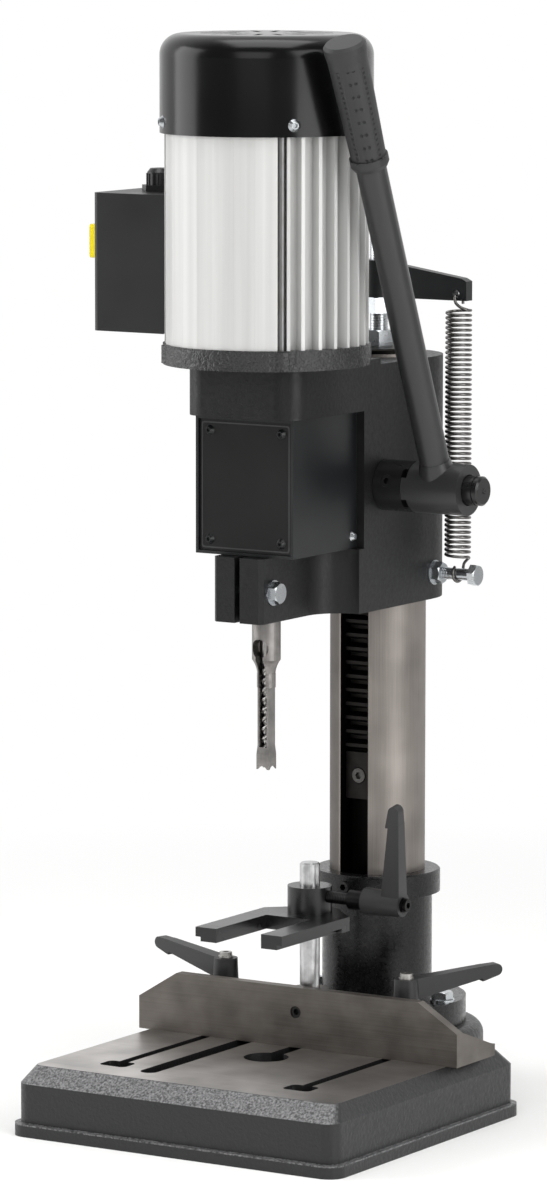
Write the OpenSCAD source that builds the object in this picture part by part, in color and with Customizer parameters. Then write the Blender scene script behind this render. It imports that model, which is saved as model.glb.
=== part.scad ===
// Benchtop hollow-chisel mortiser: cast base with a slotted table, round column with a rack,
// sprung head with motor, chuck and chisel, feed lever on a dog clutch, fence and hold-down.
// Origin: column axis on the floor. +X right, +Y back, +Z up, millimetres, head at the top of its stroke.

/* [Base] */
// Width of the base plate
base_w = 254; // [230:1:280]
// Depth of the base plate, front to back
base_d = 241; // [220:1:250]
// Distance from the column axis to the front edge of the plate
table_reach = 260.5; // [248:0.5:270]
// Height of the machined table above the floor
table_z = 45.8; // [40:0.2:60]
// Thickness of the table between its ribs
table_t = 10; // [8:0.5:14]
// Height of the foot flange round the base
foot_flange_h = 8.5; // [6:0.5:12]
// Step in from the foot flange to the wall of the base
wall_inset = 3.5; // [3:0.5:8]
// Thickness of the cast walls
wall_t = 7; // [5:0.5:9]
// Radius of the upright corners of the base
base_corner_r = 12; // [8:1:20]
// Height of the sloping edge below the table
bevel_h = 10.8; // [6:0.2:14]
// Step in of the sloping edge at the sides
bevel_side = 6.5; // [4:0.5:12]
// Step in of the sloping edge at the front and back
bevel_front = 12.5; // [5:0.5:14]
// Radius of the round tail under the column
tail_r = 73; // [68:1:80]
// Height of the round tail
tail_z = 48; // [46:0.5:60]
// Rounding of the tail's upper edge
tail_round = 9; // [5:0.5:10]

/* [Table slots] */
// Distance of each T-slot from the centre line
tslot_x = 71.5; // [60:0.5:80]
// Width of the T-slots
tslot_w = 7; // [6.6:0.1:9]
// Width of the drop-in windows at the front of the T-slots
window_w = 20.6; // [18:0.2:24]
// Length of the drop-in windows
window_l = 16; // [15:0.5:20]
// Distance from the front edge of the plate to the middle of the windows
window_in = 47.5; // [40:0.5:54]
// Length of the T-slots behind the windows
tslot_l = 158; // [140:1:165]
// Place of the plain slot, left of the centre line
plain_slot_x = -40.7; // [-46:0.1:-36]
// Width of the plain slot
plain_slot_w = 12.3; // [8:0.1:16]
// Length of the plain slot
plain_slot_l = 158; // [120:1:165]
// Distance from the front edge of the plate to the plain slot
plain_slot_in = 33.5; // [28:0.5:40]
// Diameter of the chip hole under the chisel
chip_hole_d = 30; // [20:1:36]
// Width of the slot that runs back from the chip hole
chip_slot_w = 9.8; // [6:0.2:14]
// Length of the slot that runs back from the chip hole
chip_slot_l = 70; // [40:1:75]

/* [Column] */
// Diameter of the column
column_d = 65; // [60:0.5:70]
// Diameter of the bore up the middle of the column
column_bore_d = 20; // [10:1:22]
// Length of the column above its seat
column_l = 459; // [440:1:480]
// Width of the channel that holds the rack
channel_w = 22; // [21:0.5:26]
// Height of the channel's lower end above the floor
channel_z = 100; // [80:1:130]
// Diameter of the socket's foot
socket_foot_d = 122; // [110:1:130]
// Thickness of the socket's foot
socket_foot_t = 17.5; // [12:0.5:24]
// Diameter of the socket's body
socket_d = 75; // [73:0.5:80]
// Diameter of the socket's top ring
socket_ring_d = 86; // [80:0.5:92]
// Height of the socket's top ring
socket_ring_h = 15.5; // [10:0.5:24]
// Height of the socket's top above the floor
socket_top_z = 153.5; // [140:0.5:165]
// Pitch circle radius of the socket bolts
socket_bolt_r = 52; // [50:0.5:52.5]
// Size of the socket bolts
socket_bolt_d = 8; // [6:1:10]

/* [Rack and pinion] */
// Gear module of the rack and the pinion
gear_module = 3; // [3:0.1:3.1]
// Teeth on the pinion
pinion_teeth = 27; // [26:1:27]
// Width of the pinion's face
pinion_w = 16; // [12:0.5:18]
// Width of the rack
rack_w = 20; // [18:0.5:21]
// Thickness of the rack bar behind its teeth
rack_back_t = 4.5; // [4:0.5:6]
// Teeth on the rack below the pinion axis, head up
rack_teeth_below = 20; // [15:1:20]
// Teeth on the rack above the pinion axis, head up
rack_teeth_above = 6; // [4:1:6]
// Plain length of the rack below its teeth
rack_plain_l = 32; // [26:1:36]
// Height of the pinion axis above the underside of the head
pinion_rise = 83.2; // [80:0.2:86]
// Diameter of the pinion shaft
pinion_shaft_d = 20; // [18:0.5:22]
// Play between meshing teeth
tooth_play = 0.3; // [0.15:0.05:0.5]

/* [Head] */
// Height of the head's underside above the floor, head up
head_z = 341; // [330:1:350]
// Height of the head's rear boss
head_h = 164; // [160:1:170]
// Half width of the head, and radius of its rear boss
head_r = 43.5; // [42:0.5:48]
// Distance from the column axis to the spindle axis
throat = 142; // [140:1:146]
// Distance from the column axis to the front of the head's side walls
web_reach = 90; // [86:0.5:94]
// Distance from the spindle axis to the front of the nose and the motor shelf
nose_reach = 36; // [30:0.5:38]
// Half width of the split nose
nose_half_w = 19; // [17:0.5:22]
// Height of the nose
nose_h = 43; // [38:0.5:46]
// Width of the slit in the nose
slit_w = 4; // [2:0.5:5]
// Step up from the head's top to the motor seat
motor_seat_rise = 4; // [2:0.5:8]
// Thickness of the shelf under the motor
shelf_t = 33.5; // [28:0.5:36]
// Height of the clamp bolt above the underside of the head
clamp_bolt_rise = 20; // [16:0.5:24]
// Distance from the spindle axis forward to the clamp bolt
clamp_bolt_reach = 23; // [18:0.5:24]
// Size of the clamp bolt and the spring anchor bolt
head_bolt_d = 8; // [6:1:8]

/* [Chuck hood] */
// Width of the chuck hood
hood_w = 75.4; // [70:0.2:80]
// Reach of the hood in front of the spindle axis
hood_reach = 27.2; // [26:0.2:30]
// Thickness of the hood's walls
hood_t = 2; // [1.5:0.5:3]
// Step back of the front plate inside the hood's edge
plate_inset = 1.5; // [0.5:0.5:3]
// Distance between the front plate's screws across
plate_screw_w = 55.3; // [50:0.1:60]
// Distance between the front plate's screws upright
plate_screw_h = 71.8; // [66:0.1:74]

/* [Motor] */
// Diameter over the motor's fins and smooth panels
motor_d = 134; // [130:1:136]
// Diameter at the root of the fins
fin_root_d = 119; // [116:1:122]
// Diameter of the motor's bore
motor_bore_d = 110; // [100:1:112]
// Length of the motor housing
motor_l = 141.5; // [130:0.5:150]
// Thickness of the flange under the motor
motor_flange_t = 13.5; // [10:0.5:16]
// Diameter of the flange under the motor
motor_flange_d = 136; // [132:1:140]
// Angle between neighbouring fins
fin_pitch = 10.6; // [9:0.1:12]
// Thickness of a fin
fin_t = 3.2; // [2:0.1:4]
// Step out from the motor to the fan cowl
cowl_step = 2.9; // [2:0.1:3.2]
// Height of the fan cowl
cowl_h = 64.5; // [60:0.5:70]
// Rounding of the cowl's upper edge
cowl_round = 14; // [8:0.5:20]
// Thickness of the cowl's sheet
cowl_t = 1.6; // [1:0.1:2]
// Slots in the cowl's top
cowl_slots = 16; // [8:1:20]

/* [Switch] */
// Width of the switch box out from the motor's side
box_out = 45.5; // [38:0.5:53]
// Depth of the switch box, front to back
box_d = 70; // [60:1:80]
// Height of the switch box
box_h = 91; // [80:1:100]
// Height of the switch box's underside above the motor seat
box_rise = 19; // [10:0.5:30]
// Width of the switch bezel, front to back
bezel_w = 46; // [40:1:50]
// Height of the switch bezel
bezel_h = 22.4; // [20:0.2:28]
// Thickness of the bezel outside the box
bezel_t = 4.5; // [3:0.5:6]
// Width and height of a push button
button_w = 14; // [10:0.5:16]
// Travel of a push button
button_travel = 2.5; // [1.5:0.5:3]

/* [Chisel and bit] */
// Diameter of the chisel's shank
chisel_shank_d = 19; // [16:0.1:19.1]
// Side of the square chisel at its cutting edge
chisel_w = 9.5; // [8:0.1:12]
// Side of the square chisel behind its cutting edge
chisel_body_w = 8.4; // [7.8:0.1:9]
// Depth of the chisel's tip below the underside of the head
chisel_drop = 101; // [90:1:115]
// Diameter of the bore in the chisel
chisel_bore_d = 6.8; // [6:0.1:7]
// Width of the chip window in the chisel
chip_window_w = 5.6; // [4:0.1:6]
// Pitch of the auger bit's flute
flute_pitch = 12.9; // [8:0.1:20]
// Diameter of the chuck
chuck_d = 34; // [30:1:40]

/* [Feed lever] */
// Distance from the head's centre line to the lever arm
lever_x = 86; // [82:0.5:90]
// Diameter of the lever's hub and the clutch collar
hub_d = 34; // [30:0.5:38]
// Length of the clutch collar
collar_l = 21; // [18:0.5:26]
// Gap between the clutch collar and the lever hub
clutch_gap = 4; // [2:0.5:5]
// Length of the lever hub
hub_l = 39; // [36:0.5:46]
// Reach of the lever from its axis to the end of the grip
lever_l = 322; // [290:1:330]
// Lean of the lever forward of upright
lever_lean = 22.5; // [18:0.5:26]
// Diameter of the lever arm
arm_d = 20; // [16:0.5:20]
// Diameter of the grip
grip_d = 25.5; // [22:0.5:26]
// Length of the grip
grip_l = 88; // [70:1:110]

/* [Return spring] */
// Distance from the column axis to the spring axis
spring_x = 62.5; // [60:0.5:66]
// Outer diameter of the coil
spring_d = 18.2; // [16:0.2:20]
// Diameter of the spring's wire
wire_d = 2; // [1.6:0.1:2.2]
// Curls in the coil
spring_curls = 50; // [40:1:55]
// Height of the anchor bolt above the underside of the head
anchor_rise = 18; // [16:0.5:22]
// Size of the top stud
stud_d = 12; // [10:1:12]
// Height of the spring arm's underside above the column cap
arm_rise = 33; // [30:0.5:36]
// Height of the spring arm at the stud
arm_h = 25; // [20:0.5:30]
// Height of the spring arm at its tip
arm_tip_h = 15; // [12:0.5:18]
// Thickness of the spring arm
arm_t = 8; // [5:0.5:10]

/* [Fence] */
// Distance from the column axis to the fence's face
fence_y = 105.3; // [100:0.1:120]
// Height of the fence above the table
fence_h = 41; // [36:0.5:48]
// Height of the fence's ends above the table
fence_end_h = 22.5; // [18:0.5:26]
// Length of the fence
fence_l = 251; // [240:1:260]
// Length of the sloping corner at each end
fence_slope_l = 30.2; // [20:0.2:40]
// Thickness of the fence's wall
fence_t = 7.5; // [6:0.5:10]
// Thickness of the fence's foot
fence_foot_t = 8; // [6:0.5:10]
// Depth of the fence, front to back, at its ends
fence_depth = 50; // [46:0.5:54]
// Half width of the cut-out in the fence's foot behind the post
fence_gap = 47; // [46:0.5:50]
// Distance from the fence's face to the T-bolts
tbolt_in = 25.2; // [22:0.2:30]
// Size of the T-bolts
tbolt_d = 6; // [6:0.5:6.5]

/* [Hold-down] */
// Distance from the fence's face to the post
post_in = 18.1; // [17.5:0.1:22]
// Diameter of the post
post_d = 13.5; // [12:0.5:15]
// Height of the post's top above the table
post_top = 123.6; // [110:0.2:140]
// Height of the fork's top above the table
fork_rise = 90.2; // [80:0.2:100]
// Thickness of the fork
fork_t = 9.5; // [6:0.5:10]
// Width over the fork's prongs
fork_w = 67.5; // [60:0.5:72]
// Width of the gap between the prongs
fork_gap = 35; // [30:0.5:40]
// Reach of the prongs in front of the post
fork_reach = 89; // [80:1:95]
// Diameter of the collar on the fork
fork_collar_d = 30; // [26:1:36]
// Height of the collar on the fork
fork_collar_h = 17.8; // [16:0.2:24]

/* [Clamp levers] */
// Reach of a clamp lever from its axis to its tip
clamp_l = 70; // [55:1:75]
// Height of a clamp lever's hub
clamp_hub_h = 28.7; // [24:0.1:32]
// Diameter of a clamp lever's hub at its foot
clamp_hub_d = 18.6; // [16:0.2:20]
// Length of the steel sleeve below the hub
clamp_sleeve_l = 12; // [8:0.5:16]
// Diameter of the steel sleeve
clamp_sleeve_d = 13.4; // [11:0.2:15]
// Direction of the left fence lever, from +X
left_lever_angle = 164; // [140:1:190]
// Direction of the right fence lever, from +X
right_lever_angle = 57; // [40:1:80]
// Lean of the hold-down lever forward of upright
hold_lever_lean = 11; // [0:1:30]

/* [Fits] */
// Running clearance on the radius of shafts and slides
run_fit = 0.06; // [0.03:0.01:0.1]
// Clearance between pieces that only sit together
seat_fit = 0.1; // [0.05:0.05:0.3]
// Gap between a moving piece and its neighbour
gap_fit = 0.3; // [0.2:0.05:0.6]

/* [Hidden] */
$fn = 64;
eps = 0.01;
cast_black = [0.09, 0.09, 0.1];
steel = [0.72, 0.72, 0.73];
zinc = [0.82, 0.84, 0.86];

// plate and table
plate_front = -table_reach;
plate_mid = plate_front + base_d / 2;
plate_rear = plate_front + base_d;
table_bottom = table_z - table_t;
wall_w = base_w - 2 * wall_inset;
wall_d = base_d - 2 * wall_inset;
window_y = plate_front + window_in;
tbolt_y = -fence_y + tbolt_in;
rib_w = 8;
window_round = 4;

// column, rack and pinion
column_r = column_d / 2;
column_top = tail_z + column_l;
bore_r = column_r + run_fit;
pinion_z = head_z + pinion_rise;
pitch_r = gear_module * pinion_teeth / 2;
tooth_pitch = PI * gear_module;
pressure_angle = 20;
addendum = gear_module;
dedendum = 1.25 * gear_module;
rack_recess = 6.9;
rack_tip_y = -column_r + rack_recess;
rack_pitch_y = rack_tip_y + addendum;
rack_root_y = rack_pitch_y + dedendum;
rack_back_y = rack_root_y + rack_back_t;
pinion_y = rack_pitch_y - pitch_r;
rack_teeth_bottom = pinion_z - rack_teeth_below * tooth_pitch;
rack_teeth_top = pinion_z + rack_teeth_above * tooth_pitch;
rack_bottom = rack_teeth_bottom - rack_plain_l;
rack_top = min(rack_teeth_top + 18, column_top - 5);
rack_screw_d = 6;
rack_screw_z = [rack_bottom + rack_plain_l / 2, rack_top - 8];
rack_screw_depth = 5;

// head
spindle_y = -throat;
head_top = head_z + head_h;
nose_top = head_z + nose_h;
motor_z = head_top + motor_seat_rise;
shelf_bottom = motor_z - shelf_t;
nose_front = spindle_y - nose_reach;
web_front = -web_reach;
clamp_y = spindle_y - clamp_bolt_reach;
clamp_z = head_z + clamp_bolt_rise;
shaft_r = pinion_shaft_d / 2;
bush_r = shaft_r + 3;
bush_l = 16;
chamber_r = pitch_r + addendum + 1.5;
chamber_half_w = pinion_w / 2 + 2;
spindle_hole_r = 21;
shelf_corner_r = 16;
flare_r = head_r - nose_half_w;
flare_y = web_front - flare_r - 6;

// hood
hood_bottom = nose_top + 0.3;
hood_top = shelf_bottom - 0.3;
hood_h = hood_top - hood_bottom;
hood_mid_z = (hood_top + hood_bottom) / 2;
hood_front = spindle_y - hood_reach;
hood_side_x = hood_w / 2;
plate_t = 1.5;
plate_y = hood_front + plate_inset;
hood_tab = 12;
lug_d = 10;
lug_z = hood_bottom + 8;
lug_y = web_front - lug_d / 2;

// motor
housing_z = motor_z + motor_flange_t;
housing_top = housing_z + motor_l;
motor_r = motor_d / 2;
cowl_d = motor_d + 2 * cowl_step;
fin_root_r = fin_root_d / 2;
cowl_overlap = 4;
cowl_z = housing_top - cowl_overlap;
cowl_top = cowl_z + cowl_h;
tie_r = motor_r - 4.4;
tie_turn = -4;
tie_d = 5;
tie_groove_w = 6.2;
motor_shaft_r = 8.5;
bearing_r = 20;
bearing_t = 12;
shield_t = 9;
shield_boss_z = housing_top - 5;
spigot_h = 4;
cowl_in_r = cowl_d / 2 - cowl_t;
stator_z = housing_z + 24;
stator_h = 84;
air_gap = 0.5;
rotor_r = 30;
cowl_screw_turn = 2;
cowl_screw_in = tie_r + tie_d / 2 + 0.6;
cowl_screw_z = housing_top + 3.5;

// switch
box_reach = motor_r + box_out;
box_left = -box_reach;
box_front = spindle_y - 36.6;
box_back = box_front + box_d;
box_z = motor_z + box_rise;
box_top = box_z + box_h;
box_wall = 3;
bezel_y = box_front + 3 + bezel_w / 2;
bezel_z = box_z + 58.7;
button_gap = 0.3;
button_step = 20.4;
button_proud = 2;
gland_x = -motor_r - 16;
gland_r = 9.4;
gland_hex_h = 4.2;

// chisel and bit
chisel_tip = head_z - chisel_drop;
chisel_step = chisel_tip + 54.5;
chisel_shoulder = chisel_tip + 76;
chisel_top = nose_top - 1;
chisel_neck = chisel_tip + 62;
chip_window_top = chisel_tip + 81;
chip_window_bottom = chisel_tip + 14.7;
bit_r = chisel_bore_d / 2 - 0.2;
chuck_bottom = hood_bottom + 12;
chuck_top = chuck_bottom + 58;
jaw_r = 7;
bit_top = chuck_bottom + 34;

// feed lever
collar_x = head_r + gap_fit;
collar_end = collar_x + collar_l;
hub_x = collar_end + clutch_gap;
hub_end = hub_x + hub_l;
dog_h = clutch_gap - gap_fit;
cap_r = 9.8;
cap_x = hub_end - 12;
cap_end = hub_end + 11.6;
grip_from = lever_l - grip_l;

// spring and its arm
cap_t = 3.5;
cap_top = column_top + cap_t;
nut_af = 19;
nut_h = 10.8;
arm_z = cap_top + arm_rise;
arm_tip_x = 70.5;
hook_hole_r = 2.6;
hook_hole_z = arm_z + 4.6;
anchor_z = head_z + anchor_rise;
anchor_end = spring_x + 11;
coil_r = (spring_d - wire_d) / 2;
coil_top = hook_hole_z - 11;
coil_bottom = anchor_z + 12;

// fence and hold-down
foot_top = table_z + fence_foot_t;
post_y = -fence_y + post_in;
post_r = post_d / 2;
post_boss_r = post_r + 6;
post_boss_top = table_z + fence_h - 3;
fork_top = table_z + fork_rise;
fork_bottom = fork_top - fork_t;
fork_front = post_y - fork_reach;
collar_top = fork_top + fork_collar_h;
hold_z = fork_top + 11.2;
washer_t = 1.6;
lever_z = foot_top + washer_t;
stud_bore_fit = 0.06;
hold_stud_d = 8;
hold_sleeve_x = 32.3;

function hex_r(af) = af / 2 / cos(30);
function polar(r, a) = [r * cos(a), r * sin(a)];

// ---- shared shapes ----

module rounded_rect(w, d, r) {
  square([w - 2 * r, d], center = true);
  square([w, d - 2 * r], center = true);
  for (x = [-1, 1], y = [-1, 1])
    translate([x * (w / 2 - r), y * (d / 2 - r)])
      circle(r);
}

module rounded_plate(w, d, r, h) {
  linear_extrude(h)
    rounded_rect(w, d, r);
}

module tube(r_out, r_in, h) {
  difference() {
    cylinder(r = r_out, h = h);
    translate([0, 0, -1])
      cylinder(r = r_in, h = h + 2);
  }
}

// Lies along +X from x0 to x1
module x_rod(r, x0, x1) {
  translate([x0, 0, 0])
    rotate([0, 90, 0])
      cylinder(r = r, h = x1 - x0);
}

module x_tube(r_out, r_in, x0, x1) {
  translate([x0, 0, 0])
    rotate([0, 90, 0])
      tube(r_out, r_in, x1 - x0);
}

// Hexagon nut or bolt head standing on z = 0
module hexagon(af, h) {
  intersection() {
    cylinder(r = hex_r(af), h = h, $fn = 6);
    cylinder(r1 = hex_r(af) + h - 1, r2 = hex_r(af) - 1, h = h, $fn = 64);
  }
}

module hex_nut(af, d, h) {
  difference() {
    hexagon(af, h);
    translate([0, 0, -1])
      cylinder(d = d, h = h + 2);
  }
}

// Bolt with its head's seat at z = 0 and its shank down to z = -l, washer under the head
module washer_bolt(d, af, l) {
  translate([0, 0, -l])
    cylinder(d = d, h = l + eps);
  cylinder(d = 2.1 * d, h = washer_t);
  translate([0, 0, washer_t - eps])
    hexagon(af, 0.66 * d);
}

// Socket cap screw, head seat at z = 0, shank down
module socket_screw(d, l, head_d, head_h) {
  difference() {
    union() {
      translate([0, 0, -l])
        cylinder(d = d, h = l + eps);
      cylinder(d = head_d, h = head_h);
    }
    translate([0, 0, head_h * 0.45])
      cylinder(d = head_d * 0.52, h = head_h, $fn = 6);
  }
}

// Button head screw, seat at z = 0, shank down
module button_screw(d, l, head_d, head_h) {
  difference() {
    union() {
      translate([0, 0, -l])
        cylinder(d = d, h = l + eps);
      cylinder(d1 = head_d, d2 = head_d * 0.55, h = head_h);
    }
    translate([0, 0, head_h * 0.4])
      cylinder(d = head_d * 0.38, h = head_h, $fn = 6);
  }
}

// Slot with round ends from y0 to y1, cut from z0 to z1
module y_slot(w, y0, y1, z0, z1) {
  translate([0, 0, z0])
    linear_extrude(z1 - z0) {
      translate([-w / 2, y0 + w / 2])
        square([w, y1 - y0 - w]);
      translate([0, y0 + w / 2])
        circle(d = w);
      translate([0, y1 - w / 2])
        circle(d = w);
    }
}

// ---- base ----

module plate_outline(w, d, r) {
  translate([0, plate_mid])
    rounded_rect(w, d, r);
}

// Bell shape of the round tail: upright wall with a rounded upper edge
module tail_solid(r, h, round_r) {
  rotate_extrude()
    union() {
      square([r - round_r, h]);
      square([r, h - round_r]);
      translate([r - round_r, h - round_r])
        intersection() {
          circle(round_r);
          square(round_r);
        }
    }
}

module table_bevel() {
  z0 = table_z - bevel_h;
  hull() {
    translate([0, plate_mid, z0])
      rounded_plate(wall_w, wall_d, base_corner_r - 2, eps, $fn = 32);
    translate([0, plate_mid, table_z - eps])
      rounded_plate(wall_w - 2 * bevel_side, wall_d - 2 * bevel_front, 6, eps, $fn = 32);
  }
}

module base_outside() {
  linear_extrude(foot_flange_h)
    plate_outline(base_w, base_d, base_corner_r);
  linear_extrude(table_z - bevel_h + eps)
    plate_outline(wall_w, wall_d, base_corner_r - 2);
  table_bevel();
  tail_solid(tail_r, tail_z, tail_round);
  cylinder(r = tail_r + 3.5, h = foot_flange_h);
}

// Hollow underside, left open between stiffening ribs
module base_hollow() {
  inner_w = wall_w - 2 * wall_t;
  inner_d = wall_d - 2 * wall_t;
  difference() {
    translate([0, 0, -1])
      linear_extrude(table_bottom + 1)
        plate_outline(inner_w, inner_d, 6);
    for (x = [-1, 1])
      translate([x * (tslot_x - 20) - rib_w / 2, plate_front, -2])
        cube([rib_w, base_d, table_z]);
    for (y = [plate_front + base_d * 0.36, plate_front + base_d * 0.68])
      translate([-base_w / 2, y - rib_w / 2, -2])
        cube([base_w, rib_w, table_z]);
    translate([0, 0, -2])
      cylinder(r = tail_r, h = table_z);
  }
  difference() {
    translate([0, 0, -1])
      cylinder(r = tail_r - wall_t, h = tail_z - 14 + 1);
    translate([-base_w / 2, -rib_w / 2, -2])
      cube([base_w, rib_w, table_z]);
    translate([-rib_w / 2, -base_d / 2, -2])
      cube([rib_w, base_d, table_z]);
    for (a = [0:90:270])
      rotate(a)
        translate([socket_bolt_r, 0, -2])
          cylinder(d = 2.4 * socket_bolt_d, h = table_z + 4);
  }
}

module base_casting() color(cast_black) {
  difference() {
    base_outside();
    base_hollow();
    for (x = [-tslot_x, tslot_x]) {
      translate([x, 0, 0])
        y_slot(tslot_w, window_y, window_y + tslot_l, -2, table_z + 1);
      translate([x, window_y, table_bottom - 26])
        rounded_plate(window_w, window_l, window_round, table_z);
      translate([x, 0, 0])
        y_slot(window_w, window_y - 4, window_y + tslot_l + 8, -2, table_bottom);
    }
    translate([plain_slot_x, 0, 0])
      y_slot(plain_slot_w, plate_front + plain_slot_in,
          plate_front + plain_slot_in + plain_slot_l, -2, table_z + 1);
    translate([0, spindle_y, -2])
      cylinder(d = chip_hole_d, h = table_z + 4);
    y_slot(chip_slot_w, spindle_y, spindle_y + chip_slot_l, -2, table_z + 1);
    for (a = [0:90:270])
      rotate(a)
        translate([socket_bolt_r, 0, tail_z - 22])
          cylinder(d = socket_bolt_d + 2 * seat_fit, h = 30);
  }
}

// ---- column ----

module column_socket() color(cast_black) {
  difference() {
    union() {
      translate([0, 0, tail_z])
        cylinder(d = socket_foot_d, h = socket_foot_t);
      translate([0, 0, tail_z])
        cylinder(d = socket_d, h = socket_top_z - tail_z - 1);
      translate([0, 0, tail_z + socket_foot_t - eps])
        cylinder(d1 = socket_d + 10, d2 = socket_d, h = 5);
      translate([0, 0, socket_top_z - socket_ring_h])
        cylinder(d = socket_ring_d, h = socket_ring_h - 1);
      translate([0, 0, socket_top_z - 1 - eps])
        cylinder(d1 = socket_ring_d, d2 = socket_ring_d - 2, h = 1);
    }
    translate([0, 0, tail_z - 1])
      cylinder(r = column_r + seat_fit, h = socket_top_z);
    for (a = [0:90:270])
      rotate(a)
        translate([socket_bolt_r, 0, tail_z - 1])
          cylinder(d = socket_bolt_d + 2 * seat_fit, h = socket_foot_t + 30);
    for (a = [0:90:270])
      rotate(a)
        translate([socket_bolt_r, 0, tail_z + socket_foot_t])
          cylinder(d = 2.1 * socket_bolt_d + 1, h = 12);
    translate([0, 0, socket_top_z - socket_ring_h / 2])
      rotate([90, 0, 0])
        cylinder(d = 8 + 2 * seat_fit, h = socket_ring_d);
  }
}

module socket_bolts() color(zinc) {
  for (a = [0:90:270])
    rotate(a)
      translate([socket_bolt_r, 0, tail_z + socket_foot_t])
        rotate(20)
          washer_bolt(socket_bolt_d, 13, socket_foot_t + 20);
}

module socket_set_screw() color(zinc) {
  translate([0, -column_r - 1.2 * seat_fit, socket_top_z - socket_ring_h / 2])
    rotate([90, 0, 0])
      difference() {
        cylinder(d = 8, h = socket_ring_d / 2 - column_r + 2);
        translate([0, 0, 6])
          cylinder(d = 4.6, h = 20, $fn = 6);
      }
}

module column() color(steel) {
  difference() {
    translate([0, 0, tail_z])
      cylinder(r = column_r, h = column_l);
    translate([0, 0, tail_z - 1])
      cylinder(d = column_bore_d, h = column_l - 40);
    translate([0, 0, column_top - 36])
      cylinder(d = stud_d, h = 40);
    translate([-channel_w / 2, -column_r - 1, channel_z])
      cube([channel_w, column_r + 1 + rack_back_y, column_top]);
    for (z = rack_screw_z)
      translate([0, rack_back_y + 9, z])
        rotate([90, 0, 0])
          cylinder(d = rack_screw_d + 2 * seat_fit, h = 20);
  }
}

// One rack tooth pointing to -Y, its middle at the height given
module rack_tooth(z) {
  half = tooth_pitch / 4 - tooth_play / 2;
  slope = tan(pressure_angle);
  translate([-rack_w / 2, 0, z])
    rotate([90, 0, 90])
      linear_extrude(rack_w)
        polygon([[rack_root_y + eps, -half - slope * dedendum],
             [rack_tip_y, -half + slope * addendum],
             [rack_tip_y, half - slope * addendum],
             [rack_root_y + eps, half + slope * dedendum]]);
}

module rack() color(steel) {
  difference() {
    union() {
      translate([-rack_w / 2, rack_root_y, rack_bottom])
        cube([rack_w, rack_back_t, rack_top - rack_bottom]);
      translate([-rack_w / 2, rack_tip_y + 1, rack_bottom])
        cube([rack_w, rack_back_y - rack_tip_y - 1, rack_plain_l]);
      translate([-rack_w / 2, rack_tip_y + 1, rack_teeth_top])
        cube([rack_w, rack_back_y - rack_tip_y - 1, rack_top - rack_teeth_top]);
      for (i = [-rack_teeth_below : rack_teeth_above - 1])
        rack_tooth(pinion_z + (i + 0.5) * tooth_pitch);
    }
    for (z = rack_screw_z) {
      translate([0, rack_back_y + 1, z])
        rotate([90, 0, 0])
          cylinder(d = rack_screw_d + 2 * seat_fit, h = 30);
      translate([0, rack_tip_y + rack_screw_depth, z])
        rotate([90, 0, 0])
          cylinder(d = 11, h = 20);
    }
  }
}

module rack_screws() color(zinc) {
  for (z = rack_screw_z)
    translate([0, rack_tip_y + rack_screw_depth, z])
      rotate([90, 0, 0])
        socket_screw(rack_screw_d, rack_back_y - rack_tip_y - rack_screw_depth + 4, 10, 4.5);
}

module column_cap() color(steel) {
  translate([0, 0, column_top])
    difference() {
      union() {
        cylinder(r = column_r - 1, h = cap_t - 1);
        translate([0, 0, cap_t - 1 - eps])
          cylinder(r1 = column_r - 1, r2 = column_r - 2, h = 1);
      }
      translate([0, 0, -1])
        cylinder(d = stud_d, h = cap_t + 2);
    }
}

module top_stud() color(zinc) {
  translate([0, 0, column_top - 30])
    cylinder(d = stud_d, h = 30 + cap_t + arm_rise + arm_h + 18);
  translate([0, 0, arm_z + arm_h + 18])
    cylinder(d1 = stud_d, d2 = stud_d - 3, h = 1.5);
}

module stud_nuts() color(zinc) {
  translate([0, 0, cap_top])
    rotate(30 + 32)
      hex_nut(nut_af, stud_d, nut_h);
  translate([0, 0, arm_z - nut_h])
    rotate(30 + 20)
      hex_nut(nut_af, stud_d, nut_h);
}

module spring_arm() color(cast_black) {
  difference() {
    union() {
      translate([0, arm_t / 2, 0])
        rotate([90, 0, 0])
          linear_extrude(arm_t)
            polygon([[0, arm_z], [arm_tip_x, arm_z], [arm_tip_x, arm_z + arm_tip_h - 2],
                 [arm_tip_x - 4, arm_z + arm_tip_h], [0, arm_z + arm_h]]);
      translate([0, 0, arm_z])
        cylinder(r = 10.5, h = arm_h);
    }
    translate([0, 0, arm_z - 1])
      cylinder(d = stud_d, h = arm_h + 2);
    translate([spring_x, 20, hook_hole_z])
      rotate([90, 0, 0])
        cylinder(r = hook_hole_r, h = 40);
    translate([spring_x, 0, arm_z - 1])
      cylinder(r = 3.4, h = 3.2);
  }
}

// Wire path of the return spring: hook through the arm, coil, hook round the anchor bolt
spring_sides = 6;
coil_rings = 8;
coil_steps = spring_curls * coil_rings;
hook_steps = 10;
function coil_point(i) =
  let (t = i / coil_steps, a = 360 * i / coil_rings)
  [spring_x + coil_r * cos(a), coil_r * sin(a), coil_top - t * (coil_top - coil_bottom)];

module return_spring() color(zinc) {
  echo(least_gap_in_spring = spring_gap);
  spring_tube(spring_path);
}

low_eye_r = head_bolt_d / 2 + wire_d / 2 + 0.1;
// Down round the shank of the anchor bolt, open at its top
low_hook = [for (i = [0 : hook_steps])
  let (a = 12 - 262 * i / hook_steps)
  [spring_x + 1.2 - 2.4 * i / hook_steps, low_eye_r * cos(a), anchor_z + low_eye_r * sin(a)]];
coil_path = [for (i = [0 : coil_steps]) coil_point(i)];
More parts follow.
